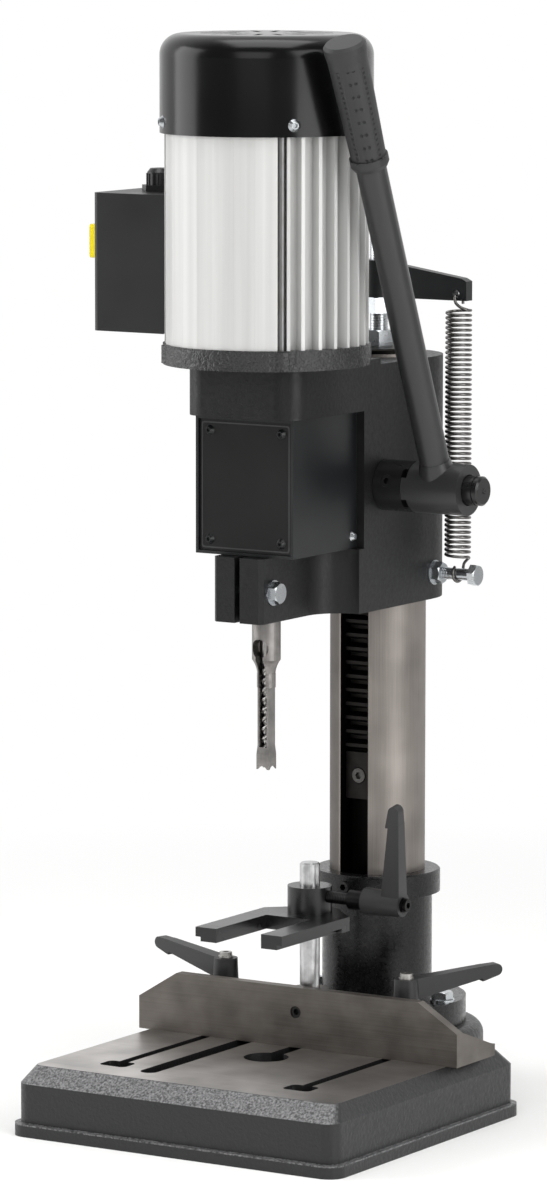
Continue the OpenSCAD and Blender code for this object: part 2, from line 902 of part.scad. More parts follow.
// Wire's middle where it lies in the hole of the arm
hook_z = hook_hole_z - hook_hole_r + wire_d / 2 + 0.1;
hook_out = arm_t / 2 + wire_d / 2 + 0.5;
spring_path = concat(
  [[spring_x, hook_out, hook_z - 2 * wire_d - 1.8],
   [spring_x, hook_out, hook_z - wire_d - 1.8],
   [spring_x, hook_out - 0.2, hook_z - 1.4],
   [spring_x, hook_out - 1.5, hook_z - 0.1],
   [spring_x, 0, hook_z],
   [spring_x, -hook_out + 1.5, hook_z - 0.1],
   [spring_x, -hook_out + 0.2, hook_z - 1.4],
   [spring_x + 0.8, -hook_out, hook_z - 4.4],
   [spring_x + 3.6, -hook_out + 0.8, coil_top + 2.4],
   [spring_x + 7, -3.2, coil_top + 0.9]],
  coil_path,
  [[spring_x + 7.2, 2.9, coil_bottom - 0.9],
   [spring_x + 4.4, 5, coil_bottom - 2.6],
   [spring_x + 1.8, low_eye_r + 0.2, coil_bottom - 5.6]],
  low_hook);

// Least gap between the wire's surfaces, over stretches that aren't neighbours
spring_gap = min([for (i = [0 : len(spring_path) - 7])
  min([for (j = [i + 6 : min(i + 30, len(spring_path) - 1)])
    norm(spring_path[i] - spring_path[j])])]) - wire_d;

// Rings of the tube stand square to the mean of the two stretches that meet there
function unit(v) = v / norm(v);
function path_dir(p, i) =
  i == 0 ? unit(p[1] - p[0])
  : i == len(p) - 1 ? unit(p[i] - p[i - 1])
  : unit(unit(p[i + 1] - p[i]) + unit(p[i] - p[i - 1]));
function side_of(d, ref) = unit(ref - (ref * d) * d);
function path_frames(p, i, ref) =
  i >= len(p) ? []
  : let (d = path_dir(p, i), s = side_of(d, ref))
   concat([[p[i], s, cross(d, s)]], path_frames(p, i + 1, s));

module spring_tube(path) {
  n = len(path);
  sides = spring_sides;
  frames = path_frames(path, 0, [0, 0.3, 1]);
  points = [for (f = frames, k = [0 : sides - 1])
    f[0] + wire_d / 2 * (cos(360 * k / sides) * f[1] + sin(360 * k / sides) * f[2])];
  walls = [for (i = [0 : n - 2], k = [0 : sides - 1])
    let (a = i * sides + k, b = i * sides + (k + 1) % sides)
    each [[a, b, b + sides], [a, b + sides, a + sides]]];
  first_cap = [for (k = [1 : sides - 2]) [0, k + 1, k]];
  last = (n - 1) * sides;
  last_cap = [for (k = [1 : sides - 2]) [last, last + k, last + k + 1]];
  polyhedron(points, concat(walls, first_cap, last_cap));
}

// ---- head ----

module head_outline() {
  circle(head_r);
  translate([-head_r, web_front])
    square([2 * head_r, web_reach]);
}

module nose_outline() {
  translate([-nose_half_w, nose_front])
    square([2 * nose_half_w, web_front - nose_front + 1]);
  difference() {
    translate([-head_r, flare_y])
      square([2 * head_r, web_front - flare_y + 1]);
    for (s = [-1, 1])
      translate([s * head_r, flare_y])
        circle(flare_r);
  }
}

module nose_front_outline() {
  corner = 4;
  difference() {
    nose_outline();
    for (s = [-1, 1])
      translate([s * nose_half_w, nose_front])
        rotate(45)
          square(corner, center = true);
  }
}

module shelf_outline() {
  d = web_front - nose_front + 20;
  translate([0, nose_front + d / 2])
    rounded_rect(2 * head_r + 1, d, shelf_corner_r);
  translate([-head_r - 0.5, web_front - 20])
    square([2 * head_r + 1, 40]);
}

module head_casting() color(cast_black) {
  difference() {
    union() {
      translate([0, 0, head_z])
        linear_extrude(head_h)
          head_outline();
      translate([0, 0, head_z])
        linear_extrude(nose_h)
          nose_front_outline();
      translate([0, 0, shelf_bottom])
        linear_extrude(shelf_t)
          shelf_outline();
      for (s = [-1, 1])
        translate([s * (hood_side_x - hood_t - seat_fit - 4), lug_y, lug_z])
          cube([8, lug_d + 1, lug_d], center = true);
    }
    translate([0, 0, head_z - 1])
      cylinder(r = bore_r, h = head_h + 20);
    translate([0, spindle_y, head_z - 1])
      cylinder(d = chisel_shank_d + 2 * seat_fit, h = nose_h + 2);
    translate([-slit_w / 2, nose_front - 1, head_z - 1])
      cube([slit_w, nose_reach, nose_h + 2]);
    translate([0, spindle_y, shelf_bottom - 1])
      cylinder(r = spindle_hole_r, h = shelf_t + 2);
    translate([0, pinion_y, pinion_z]) {
      x_rod(chamber_r, -chamber_half_w, chamber_half_w);
      x_rod(bush_r + seat_fit, -head_r - 1, head_r + 1);
    }
    translate([0, clamp_y, clamp_z])
      x_rod(head_bolt_d / 2 + seat_fit, -nose_half_w - 1, nose_half_w + 1);
    translate([0, 0, anchor_z])
      x_rod(head_bolt_d / 2 + seat_fit, head_r - 8, head_r + 1);
    for (s = [-1, 1])
      translate([s * hood_side_x, lug_y, lug_z])
        rotate([0, s * 90, 0])
          translate([0, 0, -10])
            cylinder(d = 4 + 2 * seat_fit, h = 11);
  }
}

module pinion_bushes() color([0.72, 0.53, 0.25]) {
  translate([0, pinion_y, pinion_z])
    for (s = [-1, 1])
      x_tube(bush_r, shaft_r + run_fit, s * (head_r - bush_l / 2) - bush_l / 2,
          s * (head_r - bush_l / 2) + bush_l / 2);
}

module hollow_chisel() color([0.5, 0.5, 0.5]) {
  taper_h = chisel_shoulder - chisel_neck;
  corner_r = chisel_body_w / sqrt(2);
  shank_r = chisel_shank_d / 2;
  translate([0, spindle_y, 0])
    difference() {
      union() {
        translate([0, 0, chisel_shoulder])
          cylinder(r = shank_r, h = chisel_top - chisel_shoulder);
        translate([0, 0, chisel_step])
          cylinder(r = corner_r + 0.25, h = chisel_neck - chisel_step + 2);
        translate([0, 0, chisel_neck])
          rotate_extrude()
            difference() {
              square([shank_r, taper_h + eps]);
              translate([shank_r + taper_h * 1.05, taper_h * 0.02])
                circle(shank_r - corner_r + taper_h * 1.05);
            }
        translate([-chisel_body_w / 2, -chisel_body_w / 2, chisel_tip + 6])
          cube([chisel_body_w, chisel_body_w, chisel_step - chisel_tip]);
        hull() {
          translate([0, 0, chisel_tip + 5])
            cube([chisel_w, chisel_w, 10], center = true);
          translate([0, 0, chisel_tip + 8])
            cube([chisel_body_w, chisel_body_w, 16], center = true);
        }
      }
      translate([0, 0, chisel_tip - 1])
        cylinder(d = chisel_bore_d, h = 200);
      translate([0, 0, chisel_step + 8])
        cylinder(d = chisel_bore_d + 3, h = 200);
      translate([0, 0, chisel_tip - eps])
        cylinder(r1 = chisel_w * 0.62, r2 = chisel_bore_d / 2, h = 5);
      translate([-chip_window_w / 2, -shank_r - 1, chip_window_bottom])
        cube([chip_window_w, shank_r + 1, chip_window_top - chip_window_bottom]);
      translate([0, 0, chip_window_top])
        rotate([90, 0, 0])
          cylinder(r = 6.2, h = shank_r + 1);
    }
}

module chisel_clamp_bolt() color(zinc) {
  translate([nose_half_w, clamp_y, clamp_z])
    rotate([0, 90, 0])
      washer_bolt(head_bolt_d, 13, 2 * nose_half_w);
}

module spring_anchor_bolt() color(zinc) {
  translate([0, 0, anchor_z]) {
    x_rod(head_bolt_d / 2, head_r - 7, anchor_end);
    x_rod(head_bolt_d * 1.05, head_r, head_r + washer_t);
    translate([head_r + washer_t, 0, 0])
      rotate([0, 90, 0])
        hexagon(13, 6.5);
    translate([anchor_end - eps, 0, 0])
      rotate([0, 90, 0])
        rotate(15)
          hexagon(13, 5.3);
  }
}

// ---- hood ----

module chuck_hood() color(cast_black) {
  inner_w = hood_w - 2 * hood_t;
  depth = web_front - hood_front;
  difference() {
    translate([-hood_side_x, hood_front, hood_bottom])
      cube([hood_w, depth, hood_h]);
    translate([-inner_w / 2, hood_front - 1, hood_bottom + hood_t])
      cube([inner_w, depth + 2, hood_h - 2 * hood_t]);
    for (z = [hood_bottom - 1, hood_top - hood_t - 1])
      translate([0, spindle_y, z])
        cylinder(r = spindle_hole_r, h = hood_t + 2);
    for (s = [-1, 1])
      translate([s * (hood_side_x - hood_t - 1), lug_y, lug_z])
        rotate([0, s * 90, 0])
          cylinder(d = 4 + 2 * seat_fit, h = hood_t + 4);
  }
  // corner tabs that take the front plate's screws
  for (s = [-1, 1], t = [-1, 1])
    difference() {
      translate([s * (inner_w - hood_tab) / 2, plate_y + plate_t + 1,
            hood_mid_z + t * (hood_h / 2 - hood_t - hood_tab / 2)])
        cube([hood_tab + eps, 2, hood_tab + eps], center = true);
      translate([s * plate_screw_w / 2, plate_y + plate_t - 1,
            hood_mid_z + t * plate_screw_h / 2])
        rotate([-90, 0, 0])
          cylinder(d = 4 + 2 * seat_fit, h = 6);
    }
}

module hood_front_plate() color([0.07, 0.07, 0.08]) {
  w = hood_w - 2 * hood_t - 2 * seat_fit;
  h = hood_h - 2 * hood_t - 2 * seat_fit;
  difference() {
    translate([0, plate_y + plate_t, hood_mid_z])
      rotate([90, 0, 0])
        rounded_plate(w, h, 1.5, plate_t);
    for (s = [-1, 1], t = [-1, 1])
      translate([s * plate_screw_w / 2, plate_y - 1, hood_mid_z + t * plate_screw_h / 2])
        rotate([-90, 0, 0])
          cylinder(d = 4 + 2 * seat_fit, h = plate_t + 2);
  }
}

module hood_plate_screws() color(cast_black) {
  for (s = [-1, 1], t = [-1, 1])
    translate([s * plate_screw_w / 2, plate_y, hood_mid_z + t * plate_screw_h / 2])
      rotate([90, 0, 0])
        button_screw(4, 7, 7, 2.2);
}

module hood_side_screws() color(zinc) {
  for (s = [-1, 1])
    translate([s * hood_side_x, lug_y, lug_z])
      rotate([0, s * 90, 0])
        button_screw(4, 9, 7, 2.2);
}

// ---- motor ----

// Direction on the motor: 0 is the front, positive turns to the right
function around(a) = a - 90;

module smooth_panel(a0, a1) {
  facets = 7;
  polygon(concat([[0, 0]], [for (i = [0 : facets])
    polar(motor_r, around(a0 + (a1 - a0) * i / facets))]));
}

module finned_side(mid) {
  fins = 8;
  for (i = [0 : fins - 1])
    rotate(around(mid + (i - (fins - 1) / 2) * fin_pitch))
      translate([fin_root_r - 2, -fin_t / 2])
        polygon([[0, -0.3], [motor_r - fin_root_r + 2, 0.35], [motor_r - fin_root_r + 2, fin_t - 0.35],
             [0, fin_t + 0.3]]);
}

module housing_profile() {
  difference() {
    union() {
      circle(fin_root_r);
      smooth_panel(tie_turn - 42, tie_turn + 42);
      smooth_panel(tie_turn - 132, tie_turn - 48);
      finned_side(90);
      finned_side(180);
      for (a = [45:90:315])
        rotate(around(a + tie_turn))
          translate([fin_root_r - 4.5, -5.2])
            square([tie_r + 8.4 - fin_root_r, 10.4]);
    }
    circle(d = motor_bore_d);
    for (a = [45:90:315])
      rotate(around(a + tie_turn))
        translate([tie_r - tie_groove_w / 2, -tie_groove_w / 2])
          square([20, tie_groove_w]);
  }
}

module motor_housing() color([0.75, 0.76, 0.77]) {
  translate([0, spindle_y, housing_z])
    linear_extrude(motor_l)
      housing_profile();
}

module motor_flange() color(cast_black) {
  translate([0, spindle_y, motor_z])
    difference() {
      union() {
        cylinder(d = motor_flange_d, h = motor_flange_t);
        for (a = [45:90:315])
          rotate(a + tie_turn)
            translate([tie_r - 1.1, 0, 1])
              cylinder(r = 8, h = motor_flange_t - 2);
      }
      translate([0, 0, -1])
        cylinder(r = motor_shaft_r + 2, h = motor_flange_t + 2);
      translate([0, 0, motor_flange_t - bearing_t])
        cylinder(r = bearing_r + seat_fit, h = bearing_t + 1);
      for (a = [45:90:315])
        rotate(a + tie_turn)
          translate([tie_r, 0, 2])
            cylinder(d = tie_d + 2 * seat_fit, h = motor_flange_t);
    }
}

module motor_bearings() color(steel) {
  for (z = [housing_z - bearing_t, shield_boss_z + 1])
    translate([0, spindle_y, z])
      tube(bearing_r, motor_shaft_r + run_fit, bearing_t);
}

module motor_end_shield() color([0.6, 0.6, 0.62]) {
  rim_in = motor_bore_d / 2 - 8;
  translate([0, spindle_y, housing_top])
    difference() {
      union() {
        tube(cowl_in_r - seat_fit, rim_in, shield_t);
        translate([0, 0, -spigot_h])
          tube(motor_bore_d / 2 - seat_fit, rim_in, spigot_h + eps);
        cylinder(r = rim_in + eps, h = shield_t - 4);
        translate([0, 0, shield_boss_z - housing_top])
          cylinder(r = bearing_r + 4, h = bearing_t + 2);
      }
      translate([0, 0, shield_boss_z - housing_top + 1])
        cylinder(r = bearing_r + seat_fit, h = bearing_t + 2);
      translate([0, 0, -20])
        cylinder(r = motor_shaft_r + 2, h = 40);
      for (a = [0:60:300])
        rotate(a)
          translate([36, 0, -eps])
            cylinder(r = 8, h = shield_t + 1);
      for (a = [45:90:315])
        rotate(a + tie_turn)
          translate([tie_r, 0, -1])
            cylinder(d = tie_d + 2 * seat_fit, h = shield_t + 2);
      for (a = [0:90:270])
        rotate(around(45 + cowl_screw_turn + a))
          translate([0, 0, cowl_screw_z - housing_top])
            x_rod(2, cowl_screw_in, cowl_d / 2);
    }
}

module stator() color([0.4, 0.4, 0.42]) {
  translate([0, spindle_y, stator_z]) {
    tube(motor_bore_d / 2 - seat_fit, rotor_r + air_gap, stator_h);
    for (z = [-11, stator_h])
      translate([0, 0, z])
        tube(motor_bore_d / 2 - 7, rotor_r + 4, 11);
  }
}

module tie_bolts() color(zinc) {
  for (a = [45:90:315])
    translate([0, spindle_y, motor_z + 3])
      rotate(a + tie_turn)
        translate([tie_r, 0, 0]) {
          cylinder(d = tie_d, h = motor_flange_t - 3 + motor_l + shield_t + eps);
          translate([0, 0, motor_flange_t - 3 + motor_l + shield_t])
            hexagon(8, 3.5);
        }
}

module fan_cowl() color([0.06, 0.06, 0.07]) {
  r = cowl_d / 2;
  slot_l = 24;
  translate([0, spindle_y, cowl_z])
    difference() {
      tail_solid(r, cowl_h, cowl_round);
      translate([0, 0, -eps])
        tail_solid(r - cowl_t, cowl_h - cowl_t, cowl_round - cowl_t);
      for (i = [0 : cowl_slots - 1])
        rotate(i * 360 / cowl_slots)
          translate([20, -1.8, cowl_h - 10])
            cube([slot_l, 3.6, 20]);
      for (a = [0:90:270])
        rotate(around(45 + cowl_screw_turn + a))
          translate([0, 0, cowl_screw_z - cowl_z])
            x_rod(2 + seat_fit, r - 10, r + 5);
    }
}

module cowl_screws() color(zinc) {
  for (a = [0:90:270])
    translate([0, spindle_y, cowl_screw_z])
      rotate(around(45 + cowl_screw_turn + a))
        translate([cowl_d / 2, 0, 0])
          rotate([0, 90, 0])
            button_screw(4, cowl_d / 2 - cowl_screw_in - 0.1, 8.4, 2.6);
}

// ---- switch ----

module box_solid(inset) {
  w = box_out + 15 - 2 * inset;
  translate([box_left + inset + w / 2, (box_front + box_back) / 2, box_z + inset])
    rounded_plate(w, box_d - 2 * inset, 4 - inset / 2, box_h - 2 * inset);
}

module switch_box() color([0.1, 0.1, 0.11]) {
  difference() {
    box_solid(0);
    difference() {
      box_solid(box_wall);
      translate([0, spindle_y, box_z - 1])
        cylinder(r = motor_r + box_wall, h = box_h + 2);
    }
    translate([0, spindle_y, box_z - 1])
      cylinder(r = motor_r + 0.1, h = box_h + 2);
    translate([box_left, bezel_y, bezel_z])
      cube([20, bezel_w - 6, bezel_h - 4], center = true);
    translate([gland_x, spindle_y, box_top - 10])
      cylinder(r = gland_r - 2, h = 20);
  }
}

module switch_bezel() color([0.93, 0.85, 0.1]) {
  w = bezel_w - 6 - 2 * seat_fit;
  h = bezel_h - 4 - 2 * seat_fit;
  opening = button_w + 2 * button_gap;
  translate([box_left, bezel_y, bezel_z])
    difference() {
      union() {
        translate([-bezel_t, 0, 0])
          rotate([90, 0, 90])
            rounded_plate(bezel_w, bezel_h, 2, bezel_t);
        translate([-eps, -w / 2, -h / 2])
          cube([16, w, h]);
      }
      for (s = [-1, 1])
        translate([-bezel_t - 1, s * button_step / 2 - opening / 2, -opening / 2])
          cube([bezel_t + 14, opening, opening]);
    }
}

// Push button with a flange that a spring would lean on
module push_button(side) {
  translate([box_left - bezel_t - button_proud, bezel_y + side * button_step / 2, bezel_z])
    rotate([90, 0, 90])
      rounded_plate(button_w, button_w, 1.2, button_proud + bezel_t + 11 - button_travel);
}

module start_button() color([0.1, 0.5, 0.2]) {
  push_button(-1);
}

module stop_button() color([0.75, 0.08, 0.06]) {
  push_button(1);
}

module cable_gland() color([0.06, 0.06, 0.06]) {
  ribs = 16;
  translate([gland_x, spindle_y, box_top])
    difference() {
      union() {
        translate([0, 0, -8])
          cylinder(r = gland_r - 2 - seat_fit, h = 8 + eps);
        rotate(15)
          cylinder(r = hex_r(22), h = gland_hex_h, $fn = 6);
        translate([0, 0, gland_hex_h - eps])
          cylinder(r = gland_r - 0.7, h = 8.4);
        translate([0, 0, gland_hex_h + 8.4 - 2 * eps])
          cylinder(r1 = gland_r - 0.7, r2 = 6.6, h = 2.6);
        for (i = [0 : ribs - 1])
          rotate(i * 360 / ribs)
            translate([gland_r - 0.7, 0, gland_hex_h])
              cylinder(r = 0.8, h = 7.6, $fn = 16);
      }
      translate([0, 0, -10])
        cylinder(r = 3.6, h = 40);
    }
}

// ---- spindle ----

module rotor() color([0.55, 0.55, 0.57]) {
  translate([0, spindle_y, 0]) {
    translate([0, 0, chuck_top - 14])
      cylinder(r = 8, h = housing_z - chuck_top + 2);
    translate([0, 0, housing_z - bearing_t])
      cylinder(r = motor_shaft_r, h = shield_boss_z + 1 - housing_z + 2 * bearing_t);
    translate([0, 0, housing_z])
      cylinder(r = 8, h = housing_top - housing_z + 27);
    translate([0, 0, stator_z])
      cylinder(r = rotor_r, h = stator_h);
  }
}

module cooling_fan() color([0.15, 0.15, 0.16]) {
  blades = 9;
  translate([0, spindle_y, housing_top + 12])
    difference() {
      union() {
        cylinder(r = 15, h = 14);
        cylinder(r = 52, h = 2);
        for (i = [0 : blades - 1])
          rotate(i * 360 / blades)
            translate([13, -1, 1.5])
              cube([42, 2, 22]);
      }
      translate([0, 0, -1])
        cylinder(r = 8, h = 30);
    }
}

module chuck_body() color([0.35, 0.35, 0.36]) {
  r = chuck_d / 2;
  nose_h = 8;
  gear_notches = 20;
  translate([0, spindle_y, chuck_bottom])
    difference() {
      union() {
        cylinder(r1 = r - 6, r2 = r - 1, h = nose_h);
        translate([0, 0, nose_h - eps])
          cylinder(r = r, h = 14);
        translate([0, 0, nose_h + 14 - 2 * eps])
          cylinder(r = r - 1.5, h = chuck_top - chuck_bottom - nose_h - 14);
      }
      translate([0, 0, -1])
        cylinder(r = jaw_r + seat_fit, h = 38);
      translate([0, 0, chuck_top - chuck_bottom - 15])
        cylinder(r = 8, h = 20);
      for (i = [0 : gear_notches - 1])
        rotate(i * 360 / gear_notches)
          translate([r - 2, -1.2, nose_h - 1])
            cube([4, 2.4, 6]);
    }
}

module chuck_jaws() color([0.3, 0.3, 0.31]) {
  translate([0, spindle_y, chuck_bottom - 6])
    difference() {
      cylinder(r = jaw_r, h = 34);
      translate([0, 0, -1])
        cylinder(r = bit_r, h = 40);
      for (a = [0:120:240])
        rotate(a)
          translate([0, -0.8, -1])
            cube([20, 1.6, 40]);
      translate([0, 0, -eps])
        difference() {
          cylinder(r = 10, h = 5);
          cylinder(r1 = 4.6, r2 = jaw_r, h = 5);
        }
    }
}

module auger_bit() color([0.6, 0.6, 0.6]) {
  flute_bottom = chisel_tip + 5;
  flute_top = chisel_tip + 71;
  flute_h = flute_top - flute_bottom;
  translate([0, spindle_y, 0]) {
    translate([0, 0, flute_top - eps])
      cylinder(r = bit_r, h = bit_top - flute_top);
    translate([0, 0, flute_bottom])
      linear_extrude(flute_h, twist = -360 * flute_h / flute_pitch, slices = 44, $fn = 16)
        intersection() {
          circle(bit_r - 0.05);
          square([2 * bit_r, 2.6], center = true);
        }
    translate([0, 0, chisel_tip + 2.5])
      cylinder(r1 = 3.2, r2 = bit_r - 0.05, h = 3);
    translate([0, 0, chisel_tip + 0.5])
      cylinder(r1 = 0.4, r2 = 1.6, h = 2.1);
  }
}

// ---- pinion and feed lever ----

pinion_base_r = pitch_r * cos(pressure_angle);
pinion_tip_r = pitch_r + addendum;
pinion_root_r = pitch_r - dedendum;
// Roll angle of the involute at a radius, in degrees
function roll_at(r) = sqrt(pow(r / pinion_base_r, 2) - 1) * 180 / PI;
function involute_at(r) = roll_at(r) - acos(pinion_base_r / r);
tooth_half_angle = 90 / pinion_teeth - tooth_play / 2 / pitch_r * 180 / PI / 2
          + involute_at(pitch_r);
flank_steps = 4;
function flank(side, mid) = [for (i = [0 : flank_steps])
  let (j = side < 0 ? i : flank_steps - i,
     r = pinion_base_r + (pinion_tip_r - pinion_base_r) * j / flank_steps)
  polar(r, mid + side * (tooth_half_angle - involute_at(r)))];
function tooth_outline(mid) = concat(
  [polar(pinion_root_r, mid - tooth_half_angle)], flank(-1, mid), flank(1, mid),
  [polar(pinion_root_r, mid + tooth_half_angle)]);

module pinion_gear() color([0.45, 0.45, 0.46]) {
  difference() {
    translate([-pinion_w / 2, pinion_y, pinion_z])
      rotate([90, 0, 90])
        linear_extrude(pinion_w)
          polygon([for (i = [0 : pinion_teeth - 1]) each tooth_outline(i * 360 / pinion_teeth)]);
    translate([0, pinion_y, pinion_z])
      x_rod(shaft_r + seat_fit / 2, -pinion_w, pinion_w);
  }
}

module pinion_shaft() color(steel) {
  translate([0, pinion_y, pinion_z]) {
    x_rod(shaft_r, -head_r - 6, cap_x + eps);
    x_rod(4, cap_x - eps, cap_end - 4);
    x_rod(shaft_r + 4, -head_r - 3.4, -head_r - 0.4);
  }
}

module clutch_collar() color([0.1, 0.1, 0.1]) {
  lean = 16;
  translate([0, pinion_y, pinion_z])
    difference() {
      union() {
        x_tube(hub_d / 2, shaft_r + seat_fit / 2, collar_x, collar_end);
        dog_pair(collar_end - eps, collar_end + dog_h, 0, 84);
      }
      rotate([-lean, 0, 0])
        translate([collar_x + collar_l * 0.48, 0, 0])
          rotate([90, 0, 0])
            cylinder(d = 8 + 2 * seat_fit, h = hub_d);
    }
}

// Two opposite parts of a ring, each over the angle of the span
module dog_pair(x0, x1, turn, span) {
  difference() {
    x_tube(hub_d / 2, shaft_r + 1.5, x0, x1);
    for (s = [0, 180])
      rotate([turn + s, 0, 0])
        translate([x0 - 1, 0, 0])
          rotate([90, 0, 90])
            linear_extrude(x1 - x0 + 2)
              polygon([[0, 0], polar(60, -90 + span / 2), [80, 0], polar(60, 90 - span / 2)]);
  }
}

module collar_set_screw() color([0.3, 0.3, 0.3]) {
  lean = 16;
  translate([collar_x + collar_l * 0.48, pinion_y, pinion_z])
    rotate([-lean, 0, 0])
      rotate([90, 0, 0])
        translate([0, 0, shaft_r + 0.15])
          difference() {
            cylinder(d = 8, h = hub_d / 2 - shaft_r - 0.6);
            translate([0, 0, 2.5])
              cylinder(d = 4.6, h = 10, $fn = 6);
          }
}

module shaft_end_cap() color([0.2, 0.2, 0.2]) {
  translate([0, pinion_y, pinion_z])
    difference() {
      union() {
        x_rod(cap_r, cap_x + seat_fit, cap_end - 1.2);
        translate([cap_end - 1.2 - eps, 0, 0])
          rotate([0, 90, 0])
            cylinder(r1 = cap_r, r2 = cap_r - 1.2, h = 1.2);
      }
      x_rod(4.05, cap_x - 1, cap_end - 3.9);
      translate([cap_end - 2, 0, 0])
        rotate([0, 90, 0])
          cylinder(r1 = 0.6, r2 = 2.4, h = 2.1);
      difference() {
        x_rod(cap_r + 1, cap_end - 5, cap_end - 3.8);
        x_rod(cap_r - 0.6, cap_end - 6, cap_end - 3);
      }
    }
}

// Along the lever: z runs from the hub axis to the end of the grip
module on_lever() {
  translate([lever_x, pinion_y, pinion_z])
    rotate([lever_lean, 0, 0])
      children();
}

module feed_lever() color([0.09, 0.09, 0.09]) {
  difference() {
    union() {
      translate([0, pinion_y, pinion_z])
        x_rod(hub_d / 2, hub_x, hub_end);
      translate([0, pinion_y, pinion_z])
        dog_pair(hub_x - dog_h, hub_x + eps, 90, 52);
      on_lever() {
        translate([0, 0, shaft_r + 2])
          cylinder(d = arm_d, h = lever_l - 10 - shaft_r - 2);
        translate([0, 0, shaft_r + 1])
          cylinder(r1 = arm_d / 2 + 2.6, r2 = arm_d / 2 + 0.3, h = 10);
      }
    }
    translate([0, pinion_y, pinion_z]) {
      x_rod(shaft_r + run_fit, hub_x - 10, cap_x + 1);
      x_rod(shaft_r + 0.4, cap_x - 10, hub_end + 1);
    }
  }
}

module lever_grip() color([0.07, 0.07, 0.07]) {
  r = grip_d / 2;
  bore = arm_d / 2 + seat_fit / 2;
  on_lever()
    translate([0, 0, grip_from])
      difference() {
        union() {
          cylinder(r1 = arm_d / 2 + 1, r2 = r, h = 3);
          translate([0, 0, 3 - eps])
            cylinder(r = r, h = 5);
          translate([0, 0, 8 - 2 * eps])
            cylinder(r1 = r - 1.2, r2 = r + 0.4, h = grip_l - 20);
          translate([0, 0, grip_l - 12 - 3 * eps])
            cylinder(r1 = r + 0.4, r2 = r + 1.2, h = 6);
          translate([0, 0, grip_l - 6 - 4 * eps])
            cylinder(r = r + 1.2, h = 4);
          translate([0, 0, grip_l - 2 - 5 * eps])
            cylinder(r1 = r + 1.2, r2 = r - 0.6, h = 2);
        }
        translate([0, 0, -1])
          cylinder(r = bore, h = grip_l - 10 + 1.1);
      }
}

// ---- fence ----

module fence_face() {
  half = fence_l / 2;
  polygon([[-half, 0], [half, 0], [half, fence_end_h], [half - fence_slope_l, fence_h],
       [-half + fence_slope_l, fence_h], [-half, fence_end_h]]);
}

// End gusset, seen along X: slopes from the wall down to the foot
module fence_gusset_outline() {
  polygon([[-fence_y + 1, 0], [-fence_y + fence_depth, 0],
       [-fence_y + fence_depth, fence_foot_t - 1.5], [-fence_y + fence_depth - 2, fence_foot_t],
       [-fence_y + fence_t, fence_end_h], [-fence_y + 1, fence_end_h]]);
}

module fence() color([0.5, 0.5, 0.49]) {
  half = fence_l / 2;
  gusset_t = 7;
  difference() {
    union() {
      translate([0, -fence_y + fence_t, table_z])
        rotate([90, 0, 0])
          linear_extrude(fence_t)
            fence_face();
      difference() {
        translate([-half, -fence_y + 1, table_z])
          cube([fence_l, fence_depth - 1, fence_foot_t]);
        translate([-fence_gap, post_y + 3, table_z - 1])
          cube([2 * fence_gap, fence_depth, fence_foot_t + 2]);
      }
      for (s = [-1, 1])
        translate([s * (half - gusset_t / 2) - gusset_t / 2, 0, table_z])
          rotate([90, 0, 90])
            linear_extrude(gusset_t)
              fence_gusset_outline();
      translate([0, post_y, table_z])
        cylinder(r = post_boss_r, h = post_boss_top - table_z);
      translate([-post_boss_r, -fence_y + 1, table_z])
        cube([2 * post_boss_r, post_in, post_boss_top - table_z]);
    }
    for (s = [-1, 1])
      translate([s * tslot_x, tbolt_y, table_z - 1])
        cylinder(d = tbolt_d + 2 * seat_fit, h = fence_foot_t + 20);
    translate([0, post_y, table_z + 3])
      cylinder(r = post_r + run_fit, h = fence_h);
    translate([0, post_y, table_z + 24.2])
      rotate([90, 0, 0])
        cylinder(d = 8 + 2 * seat_fit, h = 40);
  }
}

module fence_t_bolts() color(zinc) {
  head_t = 5;
  for (s = [-1, 1])
    translate([s * tslot_x, tbolt_y, 0]) {
      translate([0, 0, table_bottom - head_t - gap_fit])
        cylinder(d = tbolt_d, h = foot_top + 24 - table_bottom + head_t);
      translate([-6.5, -6.5, table_bottom - head_t - gap_fit])
        cube([13, 13, head_t]);
      translate([0, 0, foot_top])
        cylinder(d = 17, h = washer_t - 0.3);
    }
}

module post_lock_screw() color([0.35, 0.35, 0.35]) {
  translate([0, post_y - post_r - 0.2, table_z + 24.2])
    rotate([90, 0, 0])
      difference() {
        cylinder(d = 8, h = post_in - post_r - 1.2);
        translate([0, 0, post_in - post_r - 5])
          cylinder(d = 4.6, h = 10, $fn = 6);
      }
}

module hold_down_post() color(steel) {
  translate([0, post_y, table_z + 3 + 0.1])
    cylinder(r = post_r, h = post_top - 4.1);
  translate([0, post_y, table_z + post_top - 1 - eps])
    cylinder(r1 = post_r, r2 = post_r - 1, h = 1);
}

// ---- clamp levers ----

